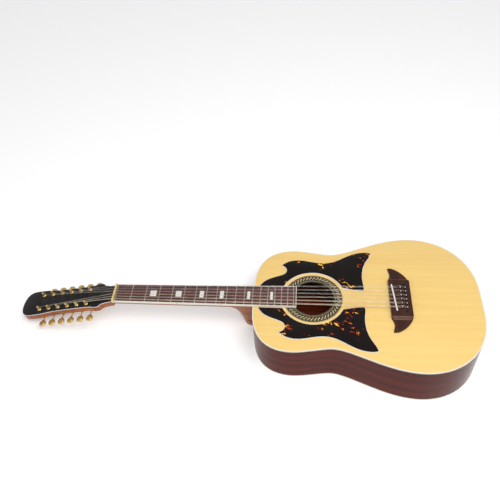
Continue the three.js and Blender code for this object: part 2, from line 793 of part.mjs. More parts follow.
/** The nut: a comb that keeps the strings apart just behind the zero fret. */
function nut() {
  const top = fretboardHeight + nutRise;
  const outline = [point(-nutHalfWidth, gap), point(nutHalfWidth, gap), point(nutHalfWidth, top)];
  for (const s of [...stringPlaces].reverse()) {
    const halfSlot = s.radius + gap;
    const floor = stringZAtNut - gap;
    outline.push(point(s.nutY + halfSlot, top), point(s.nutY + halfSlot, floor));
    outline.push(point(s.nutY - halfSlot, floor), point(s.nutY - halfSlot, top));
  }
  outline.push(point(-nutHalfWidth, top));
  return extruded(outline, nutBack, nutFront).rotateX(Math.PI / 2).rotateZ(Math.PI / 2);
}

function veneer() {
  const start = -gap - veneerThickness * Math.tan(headTilt);
  return extruded(headstockLoop(start), -veneerThickness, 0, machines.map(postHole));
}

// ---------------------------------------------------------------------------------------------
// Tuning machines, in the headstock's plane: x towards the nut, z = 0 on its face
// ---------------------------------------------------------------------------------------------

const plateTop = headBack - gap;
const plateBottom = plateTop - tunerPlateThickness;
const wormZ = plateBottom - gap - wormCrestRadius;
const gearPitchRadius = gearTeeth * wormPitch / (2 * Math.PI);
const wormOffset = gearPitchRadius + wormPitchRadius;
const gearTipRadius = wormOffset - wormRootRadius - gap;
const gearRootRadius = wormOffset - wormCrestRadius - gap;
const wormFlank = (wormPitch - wormGroove - wormCrest) / 2;
const wormTurns = 4;
const wormColumns = 6;
const wormHalfLength = (wormTurns / 2 + 0.5) * wormPitch;

/** A post with its gear, standing on the origin's axis. */
function post() {
  const foot = wormZ - gearThickness / 2 - gap;
  const stem = solid(turned([
    [0, foot],
    [postRadius, foot],
    [postRadius, postWaistAt - 2],
    [postWaistRadius, postWaistAt - 1.3],
    [postWaistRadius, postWaistAt + 1.3],
    [postRadius, postWaistAt + 2],
    [postRadius, postHeight],
    [0, postHeight],
  ], 8));
  const toothAngle = 2 * Math.PI / gearTeeth;
  const onRim = (radius, angle) => point(radius * Math.cos(angle), radius * Math.sin(angle));
  const rim = Array.from({ length: gearTeeth }, (_, i) => {
    const tip = gearToothTip / 2 / gearTipRadius;
    const angle = i * toothAngle;
    return [
      onRim(gearRootRadius, angle - toothAngle / 2),
      onRim(gearTipRadius, angle - tip),
      onRim(gearTipRadius, angle + tip),
    ];
  }).flat();
  // The teeth lean by the worm's lead angle.
  const lean = wormPitch / (2 * Math.PI * wormPitchRadius) / gearPitchRadius;
  const gear = extruded(rim, -gearThickness / 2, gearThickness / 2);
  const places = gear.attributes.position;
  for (let i = 0; i < places.count; i += 1) {
    const corner = new THREE.Vector3().fromBufferAttribute(places, i);
    corner.applyAxisAngle(new THREE.Vector3(0, 0, 1), corner.z * lean);
    places.setXYZ(i, corner.x, corner.y, corner.z);
  }
  return unite([stem, solid(gear.translate(0, 0, wormZ))]);
}

/**
 * A right-hand single-start worm along +Y whose groove is centred on the side that faces -X.
 * Each column of points lies a part of the pitch further on than the one before it, so the rows
 * follow the thread, and the last column meets the first one a full pitch along.
 */
function worm() {
  const rows = [];
  for (let n = -wormTurns / 2; n < wormTurns / 2; n += 1) {
    const centre = n * wormPitch;
    const edge = centre + wormGroove / 2;
    rows.push([centre - wormGroove / 2, wormRootRadius], [edge, wormRootRadius]);
    rows.push([edge + wormFlank, wormCrestRadius]);
    rows.push([edge + wormFlank + wormCrest, wormCrestRadius]);
  }
  const rowsPerTurn = 4;
  const vertices = [];
  for (let column = 0; column < wormColumns; column += 1) {
    const turn = column / wormColumns;
    const angle = 2 * Math.PI * turn - Math.PI / 2;
    for (const [along, radius] of rows) {
      vertices.push(new THREE.Vector3(radius * Math.sin(angle), along + turn * wormPitch,
        radius * Math.cos(angle)));
    }
  }
  const last = rows.length - 1;
  const index = (column, row) => (column < wormColumns
    ? column * rows.length + row
    : row + rowsPerTurn);
  const faces = [];
  for (let column = 0; column < wormColumns; column += 1) {
    const rowEnd = column === wormColumns - 1 ? last - rowsPerTurn : last;
    for (let row = 0; row < rowEnd; row += 1) {
      const [a, b] = [index(column, row), index(column + 1, row)];
      const [c, d] = [index(column + 1, row + 1), index(column, row + 1)];
      faces.push(a, b, c, a, c, d);
    }
  }
  const loopOf = (edge, step) => {
    const loop = Array.from({ length: wormColumns }, (_, column) => index(column, edge));
    for (let k = rowsPerTurn; k > 0; k -= 1) {
      loop.push(step > 0 ? index(0, edge + k) : index(wormColumns - 1, edge - rowsPerTurn + k - 1));
    }
    return loop;
  };
  const fan = (loop, tip, flip) => {
    vertices.push(tip);
    loop.forEach((corner, i) => {
      const next = loop[(i + 1) % loop.length];
      faces.push(vertices.length - 1, ...(flip ? [corner, next] : [next, corner]));
    });
  };
  fan(loopOf(0, 1), new THREE.Vector3(0, rows[0][0] + wormPitch / 2, 0), false);
  fan(loopOf(last, -1), new THREE.Vector3(0, rows[last][0] + wormPitch / 2, 0), true);
  return skin(vertices, faces);
}

/** A worm, its shaft and its button in one piece, along +Y from the row of posts outwards. */
function knob() {
  const inner = -wormHalfLength - 2 * gap - earThickness - 1;
  const shaft = solid(turned([
    [0, inner], [knobShaftRadius, inner], [knobShaftRadius, buttonAt + 2], [0, buttonAt + 2],
  ], 8).rotateX(-Math.PI / 2));
  const stations = [[0, 0.35], [0.2, 0.8], [0.6, 1], [1, 0.65]];
  const rings = stations.map(([share, size]) => {
    const oval = (angle) => new THREE.Vector3(size * buttonHalfWidth * Math.sin(angle),
      buttonAt + share * buttonLength, size * buttonHalfThickness * Math.cos(angle));
    return Array.from({ length: 8 }, (_, i) => oval((i + 0.5) * Math.PI / 4));
  });
  return unite([solid(worm()), shaft, solid(loft(rings))]);
}

/** One side's plate, with two ears for each worm's shaft. */
function tunerPlate(sign) {
  const own = machines.filter((m) => m.sign === sign);
  const row = sign * postRowHalfWidth;
  const near = own[0].x + tunerPlateEnd + wormOffset / 2;
  const far = own.at(-1).x - tunerPlateEnd;
  const strip = solid(extruded([
    point(far, row - tunerPlateHalfWidth), point(near, row - tunerPlateHalfWidth),
    point(near, row + tunerPlateHalfWidth), point(far, row + tunerPlateHalfWidth),
  ], plateBottom, plateTop, own.map(postHole)));
  const earReach = wormCrestRadius + 0.6;
  const face = wormHalfLength + gap;
  const ears = own.flatMap((m) => [-1, 1].map((end) => {
    const x = m.x + wormOffset;
    const [y0, y1] = end > 0 ? [face, face + earThickness] : [-face - earThickness, -face];
    const ear = solid(block(x - earReach, x + earReach, row + y0, row + y1,
      wormZ - earReach, plateBottom + 0.5));
    const hole = solid(extruded(clearing(0, 0, knobShaftRadius + gap, 6), row + y0 - 1, row + y1 + 1)
      .rotateX(-Math.PI / 2)
      .translate(x, 0, wormZ));
    return ear.subtract(hole);
  }));
  return unite([strip, ...ears]);
}

// ---------------------------------------------------------------------------------------------
// Strings
// ---------------------------------------------------------------------------------------------

/** A path of straight stretches through a list of points, one step to each stretch. */
class Route extends THREE.Curve {
  constructor(points) {
    super();
    this.points = points;
  }

  getPoint(t) {
    const place = t * (this.points.length - 1);
    const i = Math.min(Math.floor(place), this.points.length - 2);
    return new THREE.Vector3().lerpVectors(this.points[i], this.points[i + 1], place - i);
  }

  getUtoTmapping(u) {
    return u;
  }
}

/** A string from its pin hole over the saddle, the zero fret and the nut to its post. */
function string(place, machine) {
  const { radius, nutY, pinX, pinY, saddleY, rear } = place;
  const holeX = pinX - stringPinOffset;
  const bed = bridgeHeight + gap + radius;
  const route = [
    new THREE.Vector3(holeX, pinY, boardBottom - bridgePlateThickness - 2),
    new THREE.Vector3(holeX, pinY, bed),
    new THREE.Vector3(holeX - stringHoleLean, pinY, bed + stringHoleRise),
  ];
  if (rear) {
    const passY = pinY + pinHeadRadius + radius + gap;
    const frontPin = scaleLength + frontPinRow;
    route.push(new THREE.Vector3(frontPin + pinPassReach, passY, bed + pinPassRises[0]));
    route.push(new THREE.Vector3(frontPin - pinPassReach, passY, bed + pinPassRises[1]));
  }
  const crossing = saddleX(saddleY);
  route.push(new THREE.Vector3(crossing, saddleY, saddleTop + gap + radius));
  const zeroY = nutY + (saddleY - nutY) * (-nutBack) / (crossing - nutBack);
  route.push(new THREE.Vector3(0, zeroY, fretTop + gap + radius));
  route.push(new THREE.Vector3(nutBack, nutY, stringZAtNut + radius));
  // The outermost string meets its post head-on, and the others pass it on the inside.
  const nearest = machine.x === -firstPostAt;
  const reach = postWaistRadius + gap + radius;
  const [ahead, inward] = nearest ? [0.94 * reach, 0.34 * reach] : [0, reach];
  const end = new THREE.Vector3(machine.x + ahead,
    machine.sign * (postRowHalfWidth - inward), postWaistAt);
  route.push(end.applyAxisAngle(new THREE.Vector3(0, 1, 0), -headTilt)
    .add(new THREE.Vector3(nutBack, 0, headFaceAtNut)));
  return new THREE.ExtrudeGeometry(new THREE.Shape(circle(0, 0, radius, 8)), {
    extrudePath: new Route(route),
    steps: route.length - 1,
    bevelEnabled: false,
  });
}

// ---------------------------------------------------------------------------------------------
// Assembly
// ---------------------------------------------------------------------------------------------

const guitar = new THREE.Group();
const instrument = new THREE.Group();
instrument.rotation.y = -taper;
guitar.add(instrument);

add(instrument, "soundboard", spruce, soundboard());
add(instrument, "back_plate", mahogany, backPlate());
add(instrument, "side_bass", mahogany, side(-1));
add(instrument, "side_treble", mahogany, side(1));
add(instrument, "top_binding", creamPlastic, topBinding());
add(instrument, "back_binding", creamPlastic, backBinding());
add(instrument, "neck_block", mahogany, neckBlock());
add(instrument, "tail_block", mahogany, tailBlock());
add(instrument, "soundboard_bracing", bareSpruce, soundboardBracing());
add(instrument, "back_bracing", bareSpruce, backBracing());
add(instrument, "bridge_plate", maple, bridgePlate());
add(instrument, "rosette", mosaic, rosette());
add(instrument, "pickguard_bass", tortoise, pickguard(-1));
add(instrument, "pickguard_treble", tortoise, pickguard(1));
add(instrument, "bridge", rosewood, bridge());
add(instrument, "saddle", creamPlastic, saddleBar(0, saddleSeat, saddleTop));
add(instrument, "neck", neckWood, neck());
add(instrument, "truss_rod", steel, trussRod());
add(instrument, "fretboard", rosewood, fretboard());
add(instrument, "nut", ivoryPlastic, nut());
add(instrument, "end_pin", creamPlastic, endPin());

const headstock = new THREE.Group();
headstock.position.set(nutBack, 0, headFaceAtNut);
headstock.rotation.y = -headTilt;
instrument.add(headstock);
add(headstock, "headstock_veneer", blackGloss, veneer());
add(headstock, "tuner_plate_bass", gold, tunerPlate(-1));
add(headstock, "tuner_plate_treble", gold, tunerPlate(1));

const postShape = post();
const knobShape = knob();
for (const m of machines) {
  const standing = add(headstock, `tuner_post_${m.number}`, gold, postShape);
  standing.position.set(m.x, m.sign * postRowHalfWidth, 0);
  const turning = add(headstock, `tuner_knob_${m.number}`, gold, knobShape);
  turning.position.set(m.x + wormOffset, m.sign * postRowHalfWidth, wormZ);
  turning.rotation.x = m.sign > 0 ? 0 : Math.PI;
}

// Bass strings go to the bass posts, the outermost to the nearest post; the treble side mirrors it.
stringPlaces.forEach((place, i) => {
  const bass = i < tunersPerSide;
  const machine = bass ? machines[i] : machines[3 * tunersPerSide - 1 - i];
  add(instrument, `string_${i + 1}`, stringMetal, string(place, machine));
});

// The finished guitar lies with its back on z = 0 and the middle of its box over the origin.
guitar.updateMatrixWorld(true);
const bounds = new THREE.Box3().setFromObject(guitar, true);
const middle = bounds.getCenter(new THREE.Vector3());
instrument.position.set(-middle.x, 0, -bounds.min.z);

export default guitar;
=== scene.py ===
import json
import math

import bmesh
import bpy
from mathutils import Matrix, Vector


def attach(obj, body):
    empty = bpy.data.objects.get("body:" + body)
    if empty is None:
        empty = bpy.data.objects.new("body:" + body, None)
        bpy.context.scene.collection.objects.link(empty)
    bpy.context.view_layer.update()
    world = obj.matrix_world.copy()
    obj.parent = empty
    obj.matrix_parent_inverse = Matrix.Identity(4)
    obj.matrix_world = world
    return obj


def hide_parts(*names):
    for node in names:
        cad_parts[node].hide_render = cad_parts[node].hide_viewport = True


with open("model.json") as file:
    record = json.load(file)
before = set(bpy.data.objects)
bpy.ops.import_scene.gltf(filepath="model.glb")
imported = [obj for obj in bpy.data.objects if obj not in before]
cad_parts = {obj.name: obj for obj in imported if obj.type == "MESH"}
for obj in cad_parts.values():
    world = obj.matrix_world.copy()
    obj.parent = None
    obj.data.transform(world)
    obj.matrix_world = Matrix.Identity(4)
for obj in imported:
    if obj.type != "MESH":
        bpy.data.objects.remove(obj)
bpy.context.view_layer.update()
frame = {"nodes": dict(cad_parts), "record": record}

# ---------------------------------------------------------------------------------------------
# The top frame
# The guitar lies on its back, so its soundboard slopes by a small angle. The pieces are drawn in
# millimetres on the soundboard (X from the zero fret to the tail, Z out of the wood, -Y the bass
# side) and carried from there to the CAD's frame, whose strap pin shows how the two lie.
# ---------------------------------------------------------------------------------------------

SCALE_LENGTH = 648
BODY_START = 325
BODY_END = 845
PIN_FACE = Vector((BODY_END + 13, 0, -58))

mounts = {m["name"]: m for m in frame["record"]["mounts"]}
pin_place = Vector(mounts["strap_pin_face"]["pos_m"])
pin_axis = Vector(mounts["strap_pin_face"]["axis"])
taper = math.atan2(pin_axis.z, pin_axis.x)
turn = Matrix.Rotation(-taper, 4, "Y")
millimetres = Matrix.Scale(0.001, 4)
TOP = Matrix.Translation(pin_place) @ turn @ millimetres @ Matrix.Translation(-PIN_FACE)

# ---------------------------------------------------------------------------------------------
# Camera
# A 43 mm lens a metre and a half off the bass side, looking down over the strings.
# ---------------------------------------------------------------------------------------------

camera_data = bpy.data.cameras.new("camera")
camera_data.lens = 43.2
camera_data.sensor_width = 36
camera = bpy.data.objects.new("camera", camera_data)
bpy.context.scene.collection.objects.link(camera)
bpy.context.scene.camera = camera

azimuth = math.radians(-7.49)
elevation = math.radians(47.29)
roll = math.radians(-4.71)
look = Vector((math.sin(azimuth) * math.cos(elevation),
               math.cos(azimuth) * math.cos(elevation),
               -math.sin(elevation)))
level_right = look.cross(Vector((0, 0, 1))).normalized()
level_up = level_right.cross(look)
right = math.cos(roll) * level_right + math.sin(roll) * level_up
up = math.cos(roll) * level_up - math.sin(roll) * level_right
aim = Matrix((right, up, -look)).transposed().to_4x4()
lens_place = TOP @ Vector((439.7, -862.2, 1104.5))
camera.matrix_world = Matrix.Translation(lens_place) @ turn @ aim

# ---------------------------------------------------------------------------------------------
# Studio
# A pale floor, a large soft lamp overhead on the bass side, a smaller and lower one on the same
# side, and a pale world. None of this belongs to the guitar.
# ---------------------------------------------------------------------------------------------

bpy.context.scene.view_settings.view_transform = "Standard"


def calc(tree, operation, *values):
    """A Math node's result; each value is a number or another node's output."""
    node = tree.nodes.new("ShaderNodeMath")
    node.operation = operation
    for socket, value in zip(node.inputs, values):
        if isinstance(value, bpy.types.NodeSocket):
            tree.links.new(value, socket)
        else:
            socket.default_value = value
    return node.outputs[0]


floor_mesh = bpy.data.meshes.new("floor")
floor_mesh.from_pydata([(-6, -6, 0), (6, -6, 0), (6, 6, 0), (-6, 6, 0)], [], [(0, 1, 2, 3)])
floor = bpy.data.objects.new("floor", floor_mesh)
bpy.context.scene.collection.objects.link(floor)
floor.location.z = -0.0005
floor_finish = bpy.data.materials.new("floor_paper")
floor_finish.use_nodes = True
floor_shader = floor_finish.node_tree.nodes["Principled BSDF"]
floor_shader.inputs["Base Color"].default_value = (0.94, 0.94, 0.945, 1)
floor_shader.inputs["Roughness"].default_value = 0.9
floor_paths = floor_finish.node_tree.nodes.new("ShaderNodeLightPath")
glow = calc(floor_finish.node_tree, "MULTIPLY", floor_paths.outputs["Is Camera Ray"], 0.22)
floor_shader.inputs["Emission Color"].default_value = (1, 1, 1, 1)
floor_finish.node_tree.links.new(glow, floor_shader.inputs["Emission Strength"])
floor_mesh.materials.append(floor_finish)

world = bpy.data.worlds.new("studio")
bpy.context.scene.world = world
world.use_nodes = True
sky = world.node_tree.nodes["Background"]
sky.inputs["Color"].default_value = (1, 1, 1, 1)
paths = world.node_tree.nodes.new("ShaderNodeLightPath")
sky_level = calc(world.node_tree, "MULTIPLY_ADD", paths.outputs["Is Camera Ray"], 0.45, 0.55)
world.node_tree.links.new(sky_level, sky.inputs["Strength"])


def softbox(name, place, aim_at, size, watts):
    data = bpy.data.lights.new(name, "AREA")
    data.shape = "RECTANGLE"
    data.size, data.size_y = size
    data.energy = watts
    lamp = bpy.data.objects.new(name, data)
    lamp.location = place
    lamp.rotation_euler = (Vector(aim_at) - Vector(place)).to_track_quat("-Z", "Y").to_euler()
    bpy.context.scene.collection.objects.link(lamp)


softbox("key", (0.5, -0.7, 2.0), (0.1, 0, 0.1), (1.6, 1.0), 26)
softbox("front", (-0.6, -1.7, 0.9), (0.1, 0, 0.1), (1.4, 0.5), 3.5)

# ---------------------------------------------------------------------------------------------
# Soundboard
# Two book-matched halves of quarter-sawn spruce, glued on the centre line and lacquered. The
# soundhole is cut through them, and the edge is let into the binding all round.
# ---------------------------------------------------------------------------------------------

ALONG = Vector((1, 0))
ACROSS = Vector((0, 1))
SOUNDHOLE = BODY_START + 138.3
SOUNDHOLE_RADIUS = 47.5
PLATE = 2.8
BINDING_WIDTH = 2.3


def sweep(start, start_direction, start_reach, end, end_direction, end_reach, steps):
    """A curve from start to end that leaves and arrives along the given directions."""
    start, end = Vector(start), Vector(end)
    first = start + Vector(start_direction).normalized() * start_reach
    second = end - Vector(end_direction).normalized() * end_reach
    points = []
    for i in range(1, steps + 1):
        t = i / steps
        s = 1 - t
        points.append(s ** 3 * start + 3 * s * s * t * first + 3 * s * t * t * second
                      + t ** 3 * end)
    return points


def circle(x, y, radius, sides):
    return [Vector((x + radius * math.cos(2 * math.pi * i / sides),
                    y + radius * math.sin(2 * math.pi * i / sides))) for i in range(sides)]


def mirrored(points):
    return [Vector((p.x, -p.y)) for p in reversed(points)]


def inset(loop, distance):
    """A closed loop moved inwards by a distance."""
    area = sum(a.cross(b) for a, b in zip(loop, loop[1:] + loop[:1]))
    moved = []
    for i, p in enumerate(loop):
        a = (p - loop[i - 1]).normalized()
        b = (loop[(i + 1) % len(loop)] - p).normalized()
        normal = Vector((-(a.y + b.y), a.x + b.x)).normalized()
        stretch = math.sqrt(max((1 + a.dot(b)) / 2, 0.1))
        moved.append(p + normal * math.copysign(distance / stretch, area))
    return moved


neck_corner = (BODY_START, 35)
upper_bout = (BODY_START + 95, 147.5)
waist = (BODY_START + 180, 136.5)
lower_bout = (BODY_START + 373, 191)
tail_corner = (BODY_END, 30)
half_body = [
    Vector(neck_corner),
    *sweep(neck_corner, ACROSS, 42.7, upper_bout, ALONG, 83.8, 32),
    *sweep(upper_bout, ALONG, 23.5, waist, ALONG, 18.9, 14),
    *sweep(waist, ALONG, 43.3, lower_bout, ALONG, 78.1, 26),
    *sweep(lower_bout, ALONG, 80.4, tail_corner, -ACROSS, 99.6, 36),
]
body_loop = half_body + mirrored(half_body)


def calc_vector(tree, operation, vector, factors):
    node = tree.nodes.new("ShaderNodeVectorMath")
    node.operation = operation
    tree.links.new(vector, node.inputs[0])
    node.inputs[1].default_value = factors
    return node.outputs["Vector"]


def noise(tree, vector, scale, detail=2, roughness=0.5, distortion=0):
    node = tree.nodes.new("ShaderNodeTexNoise")
    tree.links.new(vector, node.inputs["Vector"])
    node.inputs["Scale"].default_value = scale
    node.inputs["Detail"].default_value = detail
    node.inputs["Roughness"].default_value = roughness
    node.inputs["Distortion"].default_value = distortion
    return node.outputs["Fac"]


def between(tree, value, low, high, new_low=0, new_high=1):
    """A value spread from one range over another and kept inside it."""
    node = tree.nodes.new("ShaderNodeMapRange")
    tree.links.new(value, node.inputs["Value"])
    for socket, number in zip(node.inputs[1:5], (low, high, new_low, new_high)):
        socket.default_value = number
    return node.outputs["Result"]


def mixed(tree, factor, first, second, mode="MIX"):
    """Two colours mixed; each is four numbers or another node's output."""
    node = tree.nodes.new("ShaderNodeMix")
    node.data_type = "RGBA"
    node.blend_type = mode
    for socket, value in zip((node.inputs[0], node.inputs[6], node.inputs[7]),
                             (factor, first, second)):
        if isinstance(value, bpy.types.NodeSocket):
            tree.links.new(value, socket)
        else:
            socket.default_value = value
    return node.outputs[2]


def node_group(name, inputs, outputs):
    """An empty shader node group with named inputs and outputs."""
    tree = bpy.data.node_groups.new(name, "ShaderNodeTree")
    for label, kind, value in inputs:
        socket = tree.interface.new_socket(label, in_out="INPUT", socket_type=kind)
        if value is not None:
            socket.default_value = value
    for label, kind in outputs:
        tree.interface.new_socket(label, in_out="OUTPUT", socket_type=kind)
    return tree, tree.nodes.new("NodeGroupInput").outputs, tree.nodes.new("NodeGroupOutput").inputs


# Grain of a sawn board. The vector's x runs along the fibres and its y across the growth rings.
grain, given, made = node_group("grain", [
    ("Vector", "NodeSocketVector", None),
    ("Light", "NodeSocketColor", (0.8, 0.6, 0.4, 1)),
    ("Dark", "NodeSocketColor", (0.4, 0.2, 0.1, 1)),
    ("Rings", "NodeSocketFloat", 600),
    ("Ring Strength", "NodeSocketFloat", 0.4),
    ("Figure", "NodeSocketFloat", 0.5),
    ("Pores", "NodeSocketFloat", 0.3),
], [("Color", "NodeSocketColor"), ("Height", "NodeSocketFloat")])
drift = noise(grain, calc_vector(grain, "MULTIPLY", given["Vector"], (2.5, 5, 5)), 1, 2)
parts = grain.nodes.new("ShaderNodeSeparateXYZ")
grain.links.new(given["Vector"], parts.inputs[0])
bent = calc(grain, "MULTIPLY_ADD", drift, 0.02, parts.outputs["Y"])
ring = calc(grain, "FRACT", calc(grain, "MULTIPLY", bent, given["Rings"]))
late = between(grain, ring, 0.55, 0.95)
broad = noise(grain, calc_vector(grain, "MULTIPLY", given["Vector"], (3, 70, 70)), 1, 3, 0.6)
fibre = noise(grain, calc_vector(grain, "MULTIPLY", given["Vector"], (45, 1800, 1800)), 1, 2)
pore = between(grain, noise(
    grain, calc_vector(grain, "MULTIPLY", given["Vector"], (70, 1500, 1500)), 1, 1), 0.6, 0.68)
shade = calc(grain, "MULTIPLY", late, given["Ring Strength"])
shade = calc(grain, "MULTIPLY_ADD", between(grain, broad, 0.35, 0.65), given["Figure"], shade)
shade = calc(grain, "MULTIPLY_ADD", fibre, 0.12, shade)
wood = mixed(grain, calc(grain, "MINIMUM", shade, 1.0), given["Light"], given["Dark"])
pitted = calc(grain, "MULTIPLY", pore, given["Pores"])
grain.links.new(mixed(grain, pitted, wood, (0.02, 0.008, 0.004, 1)), made["Color"])
grain.links.new(calc(grain, "SUBTRACT", calc(grain, "MULTIPLY", fibre, 0.3), pitted),
                made["Height"])

# The slight unevenness of a polished coat: faint waves, dust and fine rubbing marks.
polish, given, made = node_group("polish", [
    ("Vector", "NodeSocketVector", None),
    ("Roughness", "NodeSocketFloat", 0.15),
    ("Marks", "NodeSocketFloat", 0.1),
], [("Roughness", "NodeSocketFloat"), ("Height", "NodeSocketFloat")])
waves = noise(polish, given["Vector"], 60, 2)
rubbed = noise(polish, calc_vector(polish, "MULTIPLY", given["Vector"], (40, 900, 500)), 1, 3)
spots = between(polish, noise(polish, given["Vector"], 700, 1), 0.62, 0.75)
marks = calc(polish, "ADD", between(polish, rubbed, 0.45, 0.75), spots)
polish.links.new(calc(polish, "MULTIPLY_ADD", marks, given["Marks"], given["Roughness"]),
                 made["Roughness"])
polish.links.new(waves, made["Height"])


def use_group(tree, group, vector, **values):
    node = tree.nodes.new("ShaderNodeGroup")
    node.node_tree = group
    tree.links.new(vector, node.inputs["Vector"])
    for label, value in values.items():
        node.inputs[label.replace("_", " ")].default_value = value
    return node.outputs


def new_finish(name, metallic=0.0, coat=0.0, coat_roughness=0.05, gloss=0.5):
    """A material, its tree, its shader and its object coordinates."""
    finish = bpy.data.materials.new(name)
    finish.use_nodes = True
    tree = finish.node_tree
    shader = tree.nodes["Principled BSDF"]
    shader.inputs["Metallic"].default_value = metallic
    shader.inputs["Coat Weight"].default_value = coat
    shader.inputs["Coat Roughness"].default_value = coat_roughness
    shader.inputs["Specular IOR Level"].default_value = gloss
    place = tree.nodes.new("ShaderNodeTexCoord")
    return finish, tree, shader, place.outputs


def raise_bump(tree, shader, height, distance):
    bump = tree.nodes.new("ShaderNodeBump")
    bump.inputs["Distance"].default_value = distance
    bump.inputs["Strength"].default_value = 0.5
    tree.links.new(height, bump.inputs["Height"])
    tree.links.new(bump.outputs["Normal"], shader.inputs["Normal"])


def polish_coat(tree, shader, vector, roughness, marks, height=None, distance=0.00002):
    """A polished coat on a shader; its bump follows its own waves or the height given."""
    coat_marks = use_group(tree, polish, vector, Roughness=roughness, Marks=marks)
    tree.links.new(coat_marks["Roughness"], shader.inputs["Roughness"])
    raise_bump(tree, shader, coat_marks["Height"] if height is None else height, distance)


def wood_finish(name, light, dark, rings, ring_strength, figure, pores, roughness,
                coat=0.0, coordinates="Object", swap=False, bump=0.00012, gloss=0.5):
    """Wood with its grain along X, or along the first direction of its UV map."""
    finish, tree, shader, places = new_finish(name, coat=coat, gloss=gloss)
    vector = places[coordinates]
    if swap:
        turned = tree.nodes.new("ShaderNodeVectorRotate")
        turned.rotation_type = "Z_AXIS"
        turned.inputs["Angle"].default_value = math.radians(90)
        tree.links.new(vector, turned.inputs["Vector"])
        vector = turned.outputs["Vector"]
    wood = use_group(tree, grain, vector, Light=(*light, 1), Dark=(*dark, 1), Rings=rings,
                     Ring_Strength=ring_strength, Figure=figure, Pores=pores)
    tree.links.new(wood["Color"], shader.inputs["Base Color"])
    polish_coat(tree, shader, vector, roughness, 0.06, wood["Height"], bump)
    return finish


def settle(drawing, name, body, finish, nodes=(), edge=0.0, segments=2, sharp=35,
           place=None):
    """Rounds a drawing's sharp edges and makes it a piece on a body, in place of CAD nodes."""
    bmesh.ops.remove_doubles(drawing, verts=drawing.verts, dist=1e-4)
    bmesh.ops.recalc_face_normals(drawing, faces=drawing.faces)
    limit = math.radians(sharp)
    if edge > 0:
        corners = [e for e in drawing.edges
                   if len(e.link_faces) == 2 and e.calc_face_angle(0) > limit]
        bmesh.ops.bevel(drawing, geom=corners, offset=edge, segments=segments, profile=0.5,
                        affect="EDGES", clamp_overlap=True)
    for face in drawing.faces:
        face.smooth = True
    for e in drawing.edges:
        e.smooth = len(e.link_faces) == 2 and e.calc_face_angle(0) < limit
    mesh = bpy.data.meshes.new(name)
    drawing.to_mesh(mesh)
    drawing.free()
    mesh.transform(TOP if place is None else place)
    mesh.materials.append(finish)
    piece = bpy.data.objects.new(name, mesh)
    bpy.context.scene.collection.objects.link(piece)
    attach(piece, body)
    if nodes:
        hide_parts(*nodes)
    return piece


def add_plate(drawing, loop, low, high, holes=()):
    """Adds a flat board with square edges, from its outline and holes."""
    first_edges = []
    for outline in (loop, *holes):
        corners = [drawing.verts.new((p.x, p.y, low)) for p in outline]
        first_edges += [drawing.edges.new(ends)
                        for ends in zip(corners, corners[1:] + corners[:1])]
    if holes:
        floor_faces = bmesh.ops.triangle_fill(drawing, edges=first_edges, use_beauty=True)["geom"]
        floor_faces = [f for f in floor_faces if isinstance(f, bmesh.types.BMFace)]
    else:
        floor_faces = [drawing.faces.new(corners)]
    raised = bmesh.ops.extrude_face_region(drawing, geom=floor_faces, use_keep_orig=True)["geom"]
    top = [v for v in raised if isinstance(v, bmesh.types.BMVert)]
    bmesh.ops.translate(drawing, verts=top, vec=(0, 0, high - low))


def plate(name, loop, low, high, finish, nodes=(), holes=(), edge=0.3, place=None,
          body="guitar"):
    drawing = bmesh.new()
    add_plate(drawing, loop, low, high, holes)
    return settle(drawing, name, body, finish, nodes, edge, place=place)


spruce = wood_finish("lacquered_spruce", (0.93, 0.66, 0.23), (0.82, 0.50, 0.14), 720, 0.30,
                     0.30, 0.0, 0.2, coat=0.1, bump=0.00003)
plate("soundboard_halves", inset(body_loop, BINDING_WIDTH), -PLATE, 0, spruce,
      nodes=["soundboard"], holes=[circle(SOUNDHOLE, 0, SOUNDHOLE_RADIUS, 128)], edge=0.25)

# ---------------------------------------------------------------------------------------------
# Sides
# Two mahogany boards bent to the outline, which meet at the tail in a plain seam. Kerfed
# linings inside the top and bottom edges give the soundboard and the back their gluing ledge.
# ---------------------------------------------------------------------------------------------

DEPTH_AT_NECK = 98
SIDE = 2.8
SIDE_TOP = -3.6
BACK_EDGE = 4.0
LINING = 13
LINING_BLOCK = 5.5
LINING_WIDTH = 5


def back_z(x):
    """Height of the back's outer face below the soundboard."""
    return -DEPTH_AT_NECK - (x - BODY_START) * math.tan(taper)


def add_wall(drawing, outer, inner, top, bottom, closed):
    """A standing wall between two lines, with the way round it and the height as its UV map."""
    uv = drawing.loops.layers.uv.verify()
    run = [0.0]
    for a, b in zip(outer, outer[1:]):
        run.append(run[-1] + (b - a).length / 1000)
    rows = []
    for line, height in ((outer, top), (inner, top), (inner, bottom), (outer, bottom)):
        rows.append([drawing.verts.new((p.x, p.y, height(p.x))) for p in line])
    for side in range(4):
        lower, upper = rows[side - 1], rows[side]
        for i in range(len(outer) - (0 if closed else 1)):
            j = (i + 1) % len(outer)
            corners = (lower[i], lower[j], upper[j], upper[i])
            face = drawing.faces.new(corners)
            far = run[j] if j else run[-1] + 0.01
            for loop, along in zip(face.loops, (run[i], far, far, run[i])):
                loop[uv].uv = (along, loop.vert.co.z / 1000)
    if not closed:
        drawing.faces.new([row[0] for row in rows])
        drawing.faces.new([row[-1] for row in rows])


def join_rings(drawing, rings):
    """Skins a row of rings of corners, and closes the first and the last."""
    for ring, far in zip(rings, rings[1:]):
        for i in range(len(ring)):
            j = (i + 1) % len(ring)
            drawing.faces.new((ring[i], ring[j], far[j], far[i]))
    drawing.faces.new(rings[0])
    drawing.faces.new(rings[-1])


